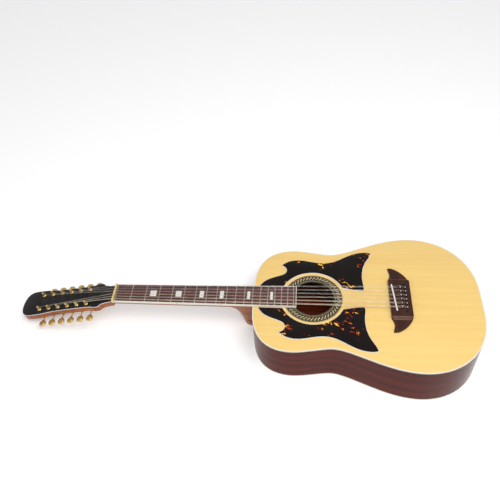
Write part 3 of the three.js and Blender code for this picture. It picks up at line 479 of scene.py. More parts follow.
mahogany = wood_finish("lacquered_mahogany", (0.13, 0.012, 0.004), (0.035, 0.003, 0.002), 160,
                       0.35, 0.6, 0.3, 0.14, coordinates="UV", gloss=0.2)
outer_half = inset(body_loop, 0.15)[:len(half_body)]
inner_half = inset(body_loop, SIDE)[:len(half_body)]
for sign, label in ((1, "treble"), (-1, "bass")):
    flip = Matrix.Diagonal((1, sign))
    drawing = bmesh.new()
    near = [Vector((outer_half[0].x, 0.1)), *outer_half, Vector((outer_half[-1].x, 0.1))]
    far = [Vector((inner_half[0].x, 0.1)), *inner_half, Vector((inner_half[-1].x, 0.1))]
    add_wall(drawing, [flip @ p for p in near], [flip @ p for p in far],
             lambda x: SIDE_TOP, lambda x: back_z(x) + BACK_EDGE, closed=False)
    settle(drawing, f"side_board_{label}", "guitar", mahogany,
           nodes=[f"side_{label}"])

bare_spruce = wood_finish("bare_spruce", (0.72, 0.52, 0.29), (0.52, 0.33, 0.15), 500, 0.5, 0.4,
                          0.05, 0.7)
drawing = bmesh.new()
lining_line = inset(body_loop, SIDE + 0.05)
for loop_point, next_point in zip(lining_line, lining_line[1:]):
    step = next_point - loop_point
    blocks = max(1, round(step.length / LINING_BLOCK))
    inward = Vector((step.y, -step.x)).normalized() * LINING_WIDTH
    for k in range(blocks):
        a = loop_point + step * (k + 0.08) / blocks
        b = loop_point + step * (k + 0.92) / blocks
        for high, low in ((-PLATE - 0.1, -PLATE - LINING),
                          (back_z(a.x) + PLATE + 0.1, back_z(a.x) + PLATE + LINING)):
            wedge = [drawing.verts.new((*p, z)) for p, z in (
                (a, high), (b, high), (b + inward, high), (a + inward, high),
                (a, low), (b, low), (b + inward * 0.3, low), (a + inward * 0.3, low))]
            join_rings(drawing, [wedge[:4], wedge[4:]])
settle(drawing, "kerfed_linings", "guitar", bare_spruce)

# ---------------------------------------------------------------------------------------------
# Bindings
# A cream plastic strip let into the corner of the soundboard and the side, with a black and a
# white line under it. The corner of the back carries a plain cream strip.
# ---------------------------------------------------------------------------------------------


def plastic_finish(name, colour, roughness, coat=0.0, mottle=0.06, gloss=0.5):
    finish, tree, shader, places = new_finish(name, coat=coat, gloss=gloss)
    tone = between(tree, noise(tree, places["Object"], 25, 3), 0.3, 0.7, 0, mottle)
    darker = (colour[0] * 0.55, colour[1] * 0.45, colour[2] * 0.35, 1)
    tree.links.new(mixed(tree, tone, (*colour, 1), darker), shader.inputs["Base Color"])
    polish_coat(tree, shader, places["Object"], roughness, 0.08)
    return finish


cream = plastic_finish("cream_binding", (0.84, 0.80, 0.68), 0.22)
black_line = plastic_finish("black_fibre", (0.02, 0.016, 0.016), 0.35)
edge_lines = [("top_binding_strip", 0.0, BINDING_WIDTH, -1.9, 0.0, cream, "cream_plastic"),
              ("binding_black_line", 0.05, 1.2, -2.9, -1.9, black_line, "black_plastic"),
              ("binding_white_line", 0.1, 1.2, SIDE_TOP, -2.9, cream, "cream_plastic")]
for name, outside, inside, low, high, finish, slot in edge_lines:
    drawing = bmesh.new()
    add_wall(drawing, inset(body_loop, outside), inset(body_loop, inside),
             lambda x: high, lambda x: low, closed=True)
    settle(drawing, name, "guitar", finish,
           nodes=["top_binding"] if outside == 0 else (), edge=0.25 if outside == 0 else 0)
drawing = bmesh.new()
add_wall(drawing, body_loop, inset(body_loop, BINDING_WIDTH), lambda x: back_z(x) + BACK_EDGE,
         lambda x: back_z(x), closed=True)
settle(drawing, "back_binding_strip", "guitar", cream, nodes=["back_binding"],
       edge=0.4)

# ---------------------------------------------------------------------------------------------
# Back
# Two mahogany halves joined by a thin inlaid strip, glued over the linings and the back braces.
# ---------------------------------------------------------------------------------------------

BACK_STRIP = 1.6
back_wood = wood_finish("back_mahogany", (0.19, 0.030, 0.010), (0.04, 0.006, 0.004), 130, 0.5,
                        0.75, 0.4, 0.17, coat=0.1)
back_edge = inset(body_loop, BINDING_WIDTH)[:len(half_body)]
drawing = bmesh.new()
for sign in (1, -1):
    outline = [Vector((back_edge[0].x, BACK_STRIP)), *back_edge,
               Vector((back_edge[-1].x, BACK_STRIP))]
    rings = []
    for lift in (0, PLATE):
        rings.append([drawing.verts.new((p.x, sign * p.y, back_z(p.x) + lift)) for p in outline])
    join_rings(drawing, rings)
settle(drawing, "back_halves", "guitar", back_wood, nodes=["back_plate"])
drawing = bmesh.new()
strip_ends = (back_edge[0].x, back_edge[-1].x)
strip = [drawing.verts.new((x, y, back_z(x) + lift)) for lift in (0.02, PLATE) for x, y in (
    (strip_ends[0], -BACK_STRIP), (strip_ends[1], -BACK_STRIP),
    (strip_ends[1], BACK_STRIP), (strip_ends[0], BACK_STRIP))]
join_rings(drawing, [strip[:4], strip[4:]])
settle(drawing, "back_centre_strip", "guitar", wood_finish(
    "strip_maple", (0.66, 0.47, 0.24), (0.32, 0.16, 0.06), 300, 0.4, 0.5, 0.1, 0.2, coat=0.4))

# ---------------------------------------------------------------------------------------------
# Inside the body
# Bare spruce braces, mahogany end blocks, a maple bridge plate and the truss rod's steel nut
# keep the shapes they have in the frame. They show through the soundhole.
# ---------------------------------------------------------------------------------------------


def steel_finish(name, colour, roughness, marks=0.25):
    finish, tree, shader, places = new_finish(name, metallic=1.0)
    tone = between(tree, noise(tree, places["Object"], 90, 4), 0.3, 0.7)
    dull = (colour[0] * 0.7, colour[1] * 0.66, colour[2] * 0.6, 1)
    tree.links.new(mixed(tree, tone, (*colour, 1), dull), shader.inputs["Base Color"])
    polish_coat(tree, shader, places["Object"], roughness, marks)
    return finish


bare_spruce_across = wood_finish("bare_spruce_across", (0.72, 0.52, 0.29), (0.52, 0.33, 0.15),
                                 500, 0.5, 0.4, 0.05, 0.7, swap=True)
block_wood = wood_finish("bare_mahogany", (0.45, 0.20, 0.10), (0.24, 0.09, 0.04), 200, 0.4, 0.5,
                         0.4, 0.65)
plate_maple = wood_finish("bare_maple", (0.72, 0.55, 0.34), (0.56, 0.38, 0.2), 300, 0.3, 0.4,
                          0.05, 0.6)
rod_steel = steel_finish("rod_steel", (0.42, 0.42, 0.43), 0.4)
inside_finishes = {
    "soundboard_bracing": bare_spruce, "back_bracing": bare_spruce_across,
    "neck_block": block_wood, "tail_block": block_wood, "bridge_plate": plate_maple,
    "truss_rod": rod_steel,
}
for node, finish in inside_finishes.items():
    slots = frame["nodes"][node].data.materials
    slots.clear()
    slots.append(finish)

# ---------------------------------------------------------------------------------------------
# Rosette
# A mosaic ring let into the spruce round the soundhole: two speckled bands and a rope of pale
# slanted strokes between thin lines.
# ---------------------------------------------------------------------------------------------

ROSETTE_INNER = 47.3
ROSETTE_OUTER = 68.8
ROSETTE_TOP = 0.06
ROSETTE_DEPTH = 0.5
LIP_OUTER = 47.55  # a thin lip of the ring goes down through the soundhole's edge
drawing = bmesh.new()
uv = drawing.loops.layers.uv.verify()
sides = 160
ring_rows = []
for radius, z in ((ROSETTE_INNER, ROSETTE_TOP), (ROSETTE_OUTER, ROSETTE_TOP),
                  (ROSETTE_OUTER, -ROSETTE_DEPTH), (LIP_OUTER, -ROSETTE_DEPTH),
                  (LIP_OUTER, -PLATE), (ROSETTE_INNER, -PLATE)):
    ring_rows.append([drawing.verts.new((*p, z)) for p in circle(SOUNDHOLE, 0, radius, sides)])
for row in range(len(ring_rows)):
    inner, outer = ring_rows[row], ring_rows[(row + 1) % len(ring_rows)]
    far = 1 if row == 0 else 0
    for i in range(sides):
        j = (i + 1) % sides
        face = drawing.faces.new((inner[i], inner[j], outer[j], outer[i]))
        for loop, turned, out in zip(face.loops, (i, i + 1, i + 1, i), (0, 0, far, far)):
            loop[uv].uv = (turned / sides, out)

mosaic, tree, shader, places = new_finish("rosette_mosaic")
split = tree.nodes.new("ShaderNodeSeparateXYZ")
tree.links.new(places["UV"], split.inputs[0])
round_way, out_way = split.outputs["X"], split.outputs["Y"]


def in_band(low, high):
    above = calc(tree, "GREATER_THAN", out_way, low)
    return calc(tree, "MULTIPLY", above, calc(tree, "LESS_THAN", out_way, high))


def strokes(count, slant, share):
    """Slanted strokes round the ring: 1 on a stroke, 0 between them."""
    phase = calc(tree, "MULTIPLY_ADD", round_way, count, calc(tree, "MULTIPLY", out_way, slant))
    return calc(tree, "LESS_THAN", calc(tree, "FRACT", phase), share)


rope = calc(tree, "MULTIPLY", in_band(0.40, 0.68), strokes(48, 2.6, 0.42))
counter = calc(tree, "MULTIPLY", in_band(0.68, 0.80), strokes(48, -4.5, 0.30))
outer_specks = calc(tree, "MULTIPLY", in_band(0.84, 0.93), strokes(88, 6.0, 0.28))
inner_specks = calc(tree, "MULTIPLY", in_band(0.10, 0.30), strokes(88, -4.0, 0.26))
pale = calc(tree, "MAXIMUM", calc(tree, "MAXIMUM", rope, counter),
            calc(tree, "MAXIMUM", outer_specks, inner_specks))
pale = calc(tree, "MAXIMUM", pale, in_band(0.96, 1.01))
tint = between(tree, noise(tree, places["Object"], 220, 3), 0.35, 0.65)
ivory_tint = mixed(tree, tint, (0.62, 0.52, 0.30, 1), (0.40, 0.30, 0.14, 1))
tree.links.new(mixed(tree, pale, (0.018, 0.014, 0.010, 1), ivory_tint),
               shader.inputs["Base Color"])
polish_coat(tree, shader, places["Object"], 0.2, 0.08, pale)
settle(drawing, "rosette_ring", "guitar", mosaic, nodes=["rosette"])

# ---------------------------------------------------------------------------------------------
# Pickguards
# A mirrored pair of winged plates, near-black tortoiseshell plastic over a white layer that
# shows as a thin line round the edge. They lie beside the fretboard and round the rosette.
# ---------------------------------------------------------------------------------------------

FRETBOARD_NUT_HALF = 25.5
FRETBOARD_END_HALF = 29.3
FRETBOARD_END = 425.55
GUARD_RING = 74.9


def fretboard_half(x):
    share = x / FRETBOARD_END
    return FRETBOARD_NUT_HALF + (FRETBOARD_END_HALF - FRETBOARD_NUT_HALF) * share


def guard_point(x, y):
    return Vector((SOUNDHOLE + x, y))


def guard_loop():
    start = guard_point(-126.3, fretboard_half(SOUNDHOLE - 126.3) + 1.6)
    bay, horn = guard_point(-68.3, 71.5), guard_point(-77.3, 97)
    shoulder, waist = guard_point(-31.3, 115.5), guard_point(24.7, 107.2)
    wing, wing_tip = guard_point(128.7, 144), guard_point(140.7, 138)
    rear, foot, heel = guard_point(116.7, 62), guard_point(119.2, 30), guard_point(114.7, 23.5)
    ring_start = math.asin(30.5 / GUARD_RING)
    ring_end = math.pi - math.asin((fretboard_half(SOUNDHOLE - 68) + 1.6) / GUARD_RING)
    ring = [guard_point(GUARD_RING * math.cos(a), GUARD_RING * math.sin(a)) for a in
            (ring_start + (ring_end - ring_start) * i / 48 for i in range(49))]
    return [
        start,
        *sweep(start, (0.4, 1), 33.2, bay, (0.9, 0.7), 17.6, 14),
        *sweep(bay, (9, 7), 11.4, horn, (-15, 1.5), 15.1, 14),
        *sweep(horn, (1, 0.9), 19.1, shoulder, ALONG, 25.1, 14),
        *sweep(shoulder, ALONG, 13.9, waist, ALONG, 19.8, 10),
        *sweep(waist, ALONG, 40, wing, ALONG, 46.3, 22),
        *sweep(wing, ALONG, 7, wing_tip, (-1.5, -3.5), 3.8, 7),
        *sweep(wing_tip, (-0.3, -1), 19.6, rear, -ACROSS, 44.4, 18),
        *sweep(rear, -ACROSS, 14, foot, (-0.5, -10), 10, 8),
        *sweep(foot, (0.3, -3.5), 3.5, heel, (-3, -0.4), 3, 5),
        *sweep(heel, (-1, 0.05), 30, ring[0], (-1, 0.1), 14, 10)[:-1],
        *ring,
    ]


tortoise, tree, shader, places = new_finish("tortoiseshell", gloss=0.22)
slanted = tree.nodes.new("ShaderNodeVectorRotate")
slanted.rotation_type = "Z_AXIS"
slanted.inputs["Angle"].default_value = math.radians(35)
tree.links.new(places["Object"], slanted.inputs["Vector"])
drawn_out = calc_vector(tree, "MULTIPLY", slanted.outputs["Vector"], (1, 2.1, 1))
clusters = between(tree, noise(tree, places["Object"], 19, 2), 0.52, 0.62)
flecks = noise(tree, drawn_out, 60, 2, 0.5, 1.2)
glow = calc(tree, "MULTIPLY", between(tree, flecks, 0.57, 0.67), clusters)
ramp = tree.nodes.new("ShaderNodeValToRGB")
stops = [(0.0, (0.006, 0.003, 0.003)), (0.12, (0.03, 0.003, 0.002)), (0.30, (0.35, 0.02, 0.004)),
         (0.50, (0.85, 0.20, 0.010)), (0.75, (1.0, 0.72, 0.05))]
while len(ramp.color_ramp.elements) < len(stops):
    ramp.color_ramp.elements.new(0.5)
for element, (place, colour) in zip(ramp.color_ramp.elements, stops):
    element.position = place
    element.color = (*colour, 1)
tree.links.new(glow, ramp.inputs["Fac"])
tree.links.new(ramp.outputs["Color"], shader.inputs["Base Color"])
polish_coat(tree, shader, places["Object"], 0.08, 0.05)
guard_white = plastic_finish("guard_white_layer", (0.82, 0.82, 0.86), 0.25)
for sign, label in ((1, "treble"), (-1, "bass")):
    outline = guard_loop() if sign > 0 else mirrored(guard_loop())
    plate(f"pickguard_edge_{label}", outline, 0.05, 1.2, guard_white, edge=0.2)
    plate(f"pickguard_shell_{label}", inset(outline, 1.0), 1.2, 2.2, tortoise,
          nodes=[f"pickguard_{label}"], edge=0.3)

# ---------------------------------------------------------------------------------------------
# Bridge
# One piece of rosewood, thick in the middle and swept down to thin moustache-shaped wings, with
# ramps between. Screws under two dark caps help the glue to hold it.
# ---------------------------------------------------------------------------------------------

BRIDGE_START = 638
BRIDGE_END = 686
BRIDGE_HEIGHT = 9.5
BRIDGE_LOW = 0.3
WING_HEIGHT = 4.2
CENTRE_HALF = 52
RAMP = 6


def bridge_half():
    front, shoulder = Vector((BRIDGE_START, 55)), Vector((641, 60))
    tip, back = Vector((639.5, 92)), Vector((BRIDGE_END, 50))
    return [
        Vector((BRIDGE_START, 0)), Vector((BRIDGE_START, 30)), front, shoulder,
        *sweep(shoulder, (0.3, 1), 22, tip, (-0.2, 1), 6.1, 16),
        *sweep(tip, (1, 0.1), 19, back, (0.15, -1), 17, 18),
        Vector((BRIDGE_END, 25)),
    ]


half_bridge = bridge_half()
bridge_outline = half_bridge + [p for p in mirrored(half_bridge) if abs(p.y) > 0.01]
bridge_outline.append(Vector((BRIDGE_END, 0)))
bridge_outline.sort(key=lambda p: math.atan2(p.y, p.x - 660))


def bridge_top(y):
    away = abs(y) - CENTRE_HALF
    if away <= 0:
        return BRIDGE_HEIGHT
    if away >= RAMP:
        return WING_HEIGHT
    share = away / RAMP
    return BRIDGE_HEIGHT + (WING_HEIGHT - BRIDGE_HEIGHT) * share


def crossings(y):
    """Where a line across the bridge enters and leaves its outline."""
    loop = bridge_outline
    found = []
    for a, b in zip(loop, loop[1:] + loop[:1]):
        if (a.y > y) != (b.y > y):
            found.append(a.x + (b.x - a.x) * (y - a.y) / (b.y - a.y))
    return min(found), max(found)


rosewood = wood_finish("oiled_rosewood", (0.075, 0.018, 0.009), (0.014, 0.004, 0.003), 260, 0.5,
                       0.6, 0.55, 0.30, swap=True, gloss=0.3)
# A lighter rosewood for the sloping ramps between the middle and the wings: a painted highlight
# where the slopes catch the light, not wear.
ramp_highlight_rosewood = wood_finish("ramp_highlight_rosewood", (0.15, 0.052, 0.028), (0.05, 0.018, 0.010), 260,
                            0.4, 0.5, 0.4, 0.3, swap=True)
stations = sorted({round(s * y, 3) for s in (-1, 1) for y in (
    0, 12, 24, 36, 44, 48, 50, 51.5, 52.2, 53, 54, 56, 57.6, 58.3, 60, 63, 66, 69, 72, 75, 78, 81,
    83.5, 86, 88, 89.7, 91)})
drawing = bmesh.new()
ramp_highlight_faces = []
rows = []
for y in stations:
    x0, x1 = crossings(y)
    top = bridge_top(y)
    ease = min(1.1, (x1 - x0) * 0.2, (top - BRIDGE_LOW) * 0.4)
    rows.append([drawing.verts.new((x, y, z)) for x, z in (
        (x0, BRIDGE_LOW), (x0, top - ease), (x0 + ease * 0.3, top - ease * 0.3), (x0 + ease, top),
        (x1 - ease, top), (x1 - ease * 0.3, top - ease * 0.3), (x1, top - ease),
        (x1, BRIDGE_LOW))])
for row, far in zip(rows, rows[1:]):
    for i in range(8):
        j = (i + 1) % 8
        face = drawing.faces.new((row[i], row[j], far[j], far[i]))
        middle = abs(face.calc_center_median().y)
        if i == 3 and CENTRE_HALF < middle < CENTRE_HALF + RAMP:
            ramp_highlight_faces.append(face)
for row, tip_y in ((rows[0], -91.6), (rows[-1], 91.6)):
    x0, x1 = crossings(tip_y)
    end = drawing.verts.new(((x0 + x1) / 2, tip_y, (BRIDGE_LOW + WING_HEIGHT) / 2 + 0.6))
    for i in range(8):
        drawing.faces.new((row[i], row[(i + 1) % 8], end))
# The ramp faces take the second, lighter material, which paints the highlight on the slopes.
for face in ramp_highlight_faces:
    face.material_index = 1
bridge_piece = settle(drawing, "bridge_body", "guitar", rosewood, nodes=["bridge"],
                      sharp=50)
bridge_piece.data.materials.append(ramp_highlight_rosewood)


def turned(drawing, profile, sides, place):
    """Adds a turned solid about the local Z axis, from pairs of radius and height."""
    rows = []
    for radius, height in profile:
        if radius < 1e-6:
            rows.append([drawing.verts.new(place @ Vector((0, 0, height)))])
        else:
            rows.append([drawing.verts.new(place @ Vector((
                radius * math.cos(2 * math.pi * i / sides),
                radius * math.sin(2 * math.pi * i / sides), height))) for i in range(sides)])
    for low, high in zip(rows, rows[1:]):
        for i in range(sides):
            corners = [low[i % len(low)], low[(i + 1) % len(low)],
                       high[(i + 1) % len(high)], high[i % len(high)]]
            corners = list(dict.fromkeys(corners))
            if len(corners) > 2:
                drawing.faces.new(corners)
    for row, other in ((rows[0], rows[1]), (rows[-1], rows[-2])):
        if len(row) > 2:
            drawing.faces.new(row)


def at(x, y, z):
    return Matrix.Translation((x, y, z))


cap_black = plastic_finish("cap_black", (0.008, 0.007, 0.007), 0.16, gloss=0.35)
cap_ring = plastic_finish("cap_ring_rosewood", (0.05, 0.022, 0.015), 0.3)
for label, y in (("bass", -39), ("treble", 39)):
    drawing = bmesh.new()
    turned(drawing, [(0, 9.3), (4.3, 9.3), (4.3, 9.75), (3.9, 9.95), (0, 10.05)], 40,
           at(672.5, y, 0))
    settle(drawing, f"bridge_screw_cap_{label}", "guitar", cap_black, sharp=50)
    drawing = bmesh.new()
    turned(drawing, [(4.4, 9.3), (5.2, 9.3), (5.2, 9.62), (4.4, 9.62), (4.4, 9.3)], 40,
           at(672.5, y, 0))
    settle(drawing, f"bridge_cap_ring_{label}", "guitar", cap_ring, sharp=50)

# ---------------------------------------------------------------------------------------------
# Saddle
# A strip of white plastic let into the bridge on a slant, rounded where the strings cross it.
# ---------------------------------------------------------------------------------------------

SADDLE_HALF = 37.5


def saddle_x(y):
    return SCALE_LENGTH - 0.5 - 3.5 * y / SADDLE_HALF


saddle_white = plastic_finish("saddle_white", (0.88, 0.87, 0.82), 0.25)
drawing = bmesh.new()
rows = []
for i in range(31):
    y = -SADDLE_HALF + 2 * SADDLE_HALF * i / 30
    drop = 0.9 * max(0, (abs(y) - 34.5) / 3) ** 2
    rows.append([drawing.verts.new((saddle_x(y) + dx, y, z)) for dx, z in (
        (-1.45, 4.35), (-1.45, 11.5 - drop), (-1.0, 11.95 - drop), (0, 12.15 - drop),
        (1.0, 11.95 - drop), (1.45, 11.5 - drop), (1.45, 4.35))])
join_rings(drawing, rows)
settle(drawing, "saddle_strip", "guitar", saddle_white, nodes=["saddle"],
       sharp=50)

# ---------------------------------------------------------------------------------------------
# Bridge pins
# Twelve turned black pins with pearl dots wedge the strings' ends in two rows of holes.
# ---------------------------------------------------------------------------------------------

COURSES = 6
string_radii = ((0.6, 0.34), (0.5, 0.23), (0.38, 0.2), (0.29, 0.2), (0.2, 0.2), (0.2, 0.2))
string_places = []
for i in range(2 * COURSES):
    course, second = i // 2, i % 2
    place = course - (COURSES - 1) / 2
    side = 1 if second else -1
    string_places.append({
        "number": i + 1, "course": course, "second": second,
        "radius": string_radii[course][second], "wound": course < 4 and not second,
        "nut_y": place * 7.64 + side, "saddle_y": place * 11.4 + side * 1.3,
        "pin_x": SCALE_LENGTH + (26 if second else 15), "pin_y": place * 11.4,
    })

pin_black = plastic_finish("pin_black", (0.010, 0.009, 0.009), 0.2, gloss=0.35)
pearl = plastic_finish("pearl_dot", (0.80, 0.80, 0.76), 0.15, coat=0.3)
for place in string_places:
    drawing = bmesh.new()
    spot = at(place["pin_x"] + 0.35, place["pin_y"], 0)
    turned(drawing, [(1.7, 5.5), (1.9, 9.55), (3.2, 9.7), (3.45, 10.3), (3.3, 11.1), (2.7, 11.8),
                     (1.7, 12.15), (1.2, 12.2), (1.2, 12.0), (0, 12.0)], 28, spot)
    settle(drawing, f"bridge_pin_{place['number']}", "guitar", pin_black,
           sharp=50)
    drawing = bmesh.new()
    turned(drawing, [(1.15, 11.9), (1.15, 12.2), (0.8, 12.28), (0, 12.3)], 20, spot)
    settle(drawing, f"pin_dot_{place['number']}", "guitar", pearl, sharp=50)

# ---------------------------------------------------------------------------------------------
# Neck and heel
# Mahogany carved in one piece: a rounded shaft that swells into the heel, and the headstock
# scarfed on behind the nut. A cream plate caps the heel.
# ---------------------------------------------------------------------------------------------

HEEL_LENGTH = 62
NUT_BACK = -7.7
HEAD_DROP = 3.5
HEAD_TILT = math.radians(12.5)
HEAD_LENGTH = 247
HEAD_BACK = -16.6
WOOD_TOP = -2.1
HEEL_LIFT = 3  # the heel stops this far above the back's outer face
HEEL_CAP = 2.2
HEEL_SHARE = 15 / 28.4  # the heel's width at its cap, of the width under the fretboard
RING_STEPS = 48
HEAD = at(NUT_BACK, 0, HEAD_DROP) @ Matrix.Rotation(-HEAD_TILT, 4, "Y")


def neck_depth(x):
    heel = max(0, (x - BODY_START + HEEL_LENGTH) / HEEL_LENGTH)
    return 17 + 3 * max(x, 0) / BODY_START + 3.2 * DEPTH_AT_NECK * heel ** 3


def heel_floor(x):
    return back_z(x) + HEEL_LIFT


neck_wood = wood_finish("lacquered_neck", (0.50, 0.155, 0.032), (0.19, 0.040, 0.009), 150, 0.4,
                        0.65, 0.35, 0.17, coat=0.1)


def neck_ring(x):
    width = fretboard_half(max(x, 0)) - 0.1
    depth = neck_depth(x)
    points = []
    for i in range(RING_STEPS + 1):
        share = i / RING_STEPS
        angle = math.pi * share * share * (3 - 2 * share)
        drop = depth * math.sin(angle) ** 0.9 if 0 < i < RING_STEPS else 0
        narrowing = 1 - (1 - HEEL_SHARE) * min(drop / DEPTH_AT_NECK, 1)
        z = max(-drop, heel_floor(x) + HEEL_CAP)
        points.append((x, width * math.cos(angle) * narrowing, z))
    return points


drawing = bmesh.new()
neck_stations = [-7.4, 0, 20, 60, 120, 180, 230, 255, 263, 268, 273, 278, 283, 288, 293, 298, 302,
                 306, 310, 313, 316, 319, 322, 324.6]
rows = [[drawing.verts.new(p) for p in neck_ring(x)] for x in neck_stations]
join_rings(drawing, rows)
settle(drawing, "neck_shaft", "guitar", neck_wood, nodes=["neck"], sharp=55)

drawing = bmesh.new()
rows = []
for i in range(13):
    x = 324.6 - 22.4 * (i / 12)
    floor_z = heel_floor(x)
    share = min(-floor_z / neck_depth(x), 1) ** (1 / 0.9)
    half = fretboard_half(x) * math.sqrt(1 - share * share) * HEEL_SHARE + 0.05
    half = max(half, 0.4)
    rows.append([drawing.verts.new((x, y, z)) for y, z in (
        (-half, floor_z + 0.1), (-half, floor_z + HEEL_CAP), (half, floor_z + HEEL_CAP),
        (half, floor_z + 0.1))])
join_rings(drawing, rows)
settle(drawing, "heel_cap", "guitar", cream, edge=0.3)

# ---------------------------------------------------------------------------------------------
# Headstock
# A long mahogany paddle faced with black lacquer over a thin white layer, which shows as a line
# round the edge. A small black plate lies behind the nut, and the rest of the face is bare.
# ---------------------------------------------------------------------------------------------

POST_FIRST = 68.5
POST_STEP = 25.4
POST_ROW = 21.3
machines = []
for sign in (-1, 1):
    for k in range(COURSES):
        machines.append({"number": len(machines) + 1, "x": -(POST_FIRST + POST_STEP * k),
                         "y": sign * POST_ROW, "sign": sign, "nearest": k == 0})


def head_loop(start):
    root, shoulder = Vector((start, FRETBOARD_NUT_HALF - 1)), Vector((-42, 35.5))
    narrow, flare, tip = Vector((-100, 31.7)), Vector((-210, 36.8)), Vector((-HEAD_LENGTH, 0))
    back = Vector((-1, 0))
    upper = [
        root,
        *sweep(root, (-1, 0.05), 44.9, shoulder, back, 19.1, 14),
        *sweep(shoulder, back, 20.7, narrow, back, 67.2, 14),
        *sweep(narrow, back, 92.3, flare, back, 44.4, 14),
        *sweep(flare, back, 11.2, tip, -ACROSS, 41.1, 18),
    ]
    return upper + mirrored(upper[:-1])


head_wood_loop = head_loop(0.0)
drawing = bmesh.new()
add_plate(drawing, inset(head_wood_loop, 0.1), HEAD_BACK, WOOD_TOP)
settle(drawing, "headstock_wood", "guitar", neck_wood, edge=0.8, place=TOP @ HEAD)
veneer_start = -0.75
post_holes = [circle(m["x"], m["y"], 3.4, 32) for m in machines]
plate("headstock_white_layer", inset(head_loop(veneer_start), 0.05), -1.8, -0.9,
      guard_white, edge=0.15, place=TOP @ HEAD, holes=post_holes)
head_black, tree, shader, places = new_finish("headstock_black", gloss=0.25)
haze = between(tree, noise(tree, places["Object"], 12, 4), 0.3, 0.7)
tree.links.new(mixed(tree, haze, (0.006, 0.005, 0.006, 1), (0.014, 0.011, 0.011, 1)),
               shader.inputs["Base Color"])
polish_coat(tree, shader, places["Object"], 0.1, 0.05)
plate("headstock_face", inset(head_loop(veneer_start), 0.95), -0.9, 0,
      head_black, nodes=["headstock_veneer"], edge=0.25, place=TOP @ HEAD, holes=post_holes)
cover = [Vector(p) for p in ((-3.2, 8.5), (-9, 9.5), (-22, 7.2), (-34, 3.4), (-38.5, 0))]
cover += mirrored(cover[:-1])
plate("rod_cover", cover, 0.02, 1.3, cap_black, edge=0.35, place=TOP @ HEAD)

# ---------------------------------------------------------------------------------------------
# Fretboard
# Rosewood with a thin white binding along its sides and across its end, and eighteen nickel
# frets pressed into slots after a zero fret that sets the height of the open strings.
# ---------------------------------------------------------------------------------------------

BOARD_LOW = 0.3
BOARD_HIGH = 6.5
BOARD_START = -2.4
BOARD_BINDING = 1.5
board_wood = wood_finish("fretboard_rosewood", (0.15, 0.050, 0.046), (0.050, 0.014, 0.015), 420,
                         0.5, 0.6, 0.6, 0.36, bump=0.0001, gloss=0.35)


def board_loop(margin, start, end):
    return [Vector((start, -fretboard_half(start) + margin)),
            Vector((end, -fretboard_half(end) + margin)),
            Vector((end, fretboard_half(end) - margin)),
            Vector((start, fretboard_half(start) - margin))]


def fret_x(n):
    return SCALE_LENGTH * (1 - 2 ** (-n / 12))


plate("fretboard_wood", board_loop(BOARD_BINDING, BOARD_START, FRETBOARD_END - BOARD_BINDING),
      BOARD_LOW, BOARD_HIGH, board_wood, nodes=["fretboard"], edge=0.08)
binding_line = plastic_finish("fretboard_binding", (0.80, 0.78, 0.68), 0.24)
outer = board_loop(0.02, BOARD_START, FRETBOARD_END)
inner = board_loop(BOARD_BINDING - 0.02, BOARD_START, FRETBOARD_END - BOARD_BINDING)
u_strip = [outer[0], outer[1], outer[2], outer[3], inner[3], inner[2], inner[1], inner[0]]
plate("fretboard_binding_strip", u_strip, BOARD_LOW, BOARD_HIGH - 0.03,
      binding_line, edge=0.35)
side_dots = bmesh.new()
for n in (3, 5, 7, 9, 12, 15):
    x = (fret_x(n - 1) + fret_x(n)) / 2
    for dx in ((-4, 4) if n == 12 else (0,)):
        spot = at(x + dx, -fretboard_half(x) + 0.25, 3.8) @ Matrix.Rotation(math.pi / 2, 4, "X")
        turned(side_dots, [(0, 0.0), (1.0, 0.0), (1.0, 0.26), (0, 0.26)], 16, spot)
settle(side_dots, "side_dots", "guitar", cap_black)

fret_metal = steel_finish("fret_nickel", (0.66, 0.62, 0.57), 0.28)
drawing = bmesh.new()
fret_section = [(-1.1, -0.3), (-1.1, 0.12), (-0.85, 0.55), (-0.4, 0.9), (0, 0.98), (0.4, 0.9),
                (0.85, 0.55), (1.1, 0.12), (1.1, -0.3)]
for n in range(19):
    x = fret_x(n)
    reach = fretboard_half(x) - 1.05
    rows = []
    for y, tuck in ((-reach, 0.7), (-reach + 0.5, 0.15), (-reach + 1.1, 0), (reach - 1.1, 0),
                    (reach - 0.5, 0.15), (reach, 0.7)):
        rows.append([drawing.verts.new((x + dx, y, BOARD_HIGH + min(dz, dz * (1 - tuck))))
                     for dx, dz in fret_section])
    join_rings(drawing, rows)
settle(drawing, "frets", "guitar", fret_metal, sharp=60)

# ---------------------------------------------------------------------------------------------
# Inlays
# Rectangular pearl blocks let into the fretboard flush with the wood.
# ---------------------------------------------------------------------------------------------

pearl_inlay, tree, shader, places = new_finish("pearl_inlay", coat=0.5)
shimmer = noise(tree, calc_vector(tree, "MULTIPLY", places["Object"], (90, 260, 90)), 1, 4, 0.6,
                1.5)
tone = mixed(tree, between(tree, shimmer, 0.35, 0.65), (0.93, 0.93, 0.90, 1),
             (0.78, 0.80, 0.78, 1))
rose = between(tree, noise(tree, places["Object"], 160, 2), 0.5, 0.7, 0, 0.5)
tree.links.new(mixed(tree, rose, tone, (0.86, 0.72, 0.68, 1)), shader.inputs["Base Color"])
polish_coat(tree, shader, places["Object"], 0.2, 0.06, shimmer)
for number, x0, x1, width in ((3, 81, 96, 17), (5, 142, 156, 17), (7, 199, 209, 20),
                              (9, 247, 256, 22), (12, 311, 318, 22), (15, 365, 371, 23)):
    block = [Vector((x0, -width / 2)), Vector((x1, -width / 2)), Vector((x1, width / 2)),
             Vector((x0, width / 2))]
    plate(f"inlay_{number}", block, BOARD_HIGH - 1, BOARD_HIGH + 0.04, pearl_inlay,
          edge=0.02)

# ---------------------------------------------------------------------------------------------
# Nut
# A comb of aged ivory plastic behind the zero fret, with one slot for each string.
# ---------------------------------------------------------------------------------------------

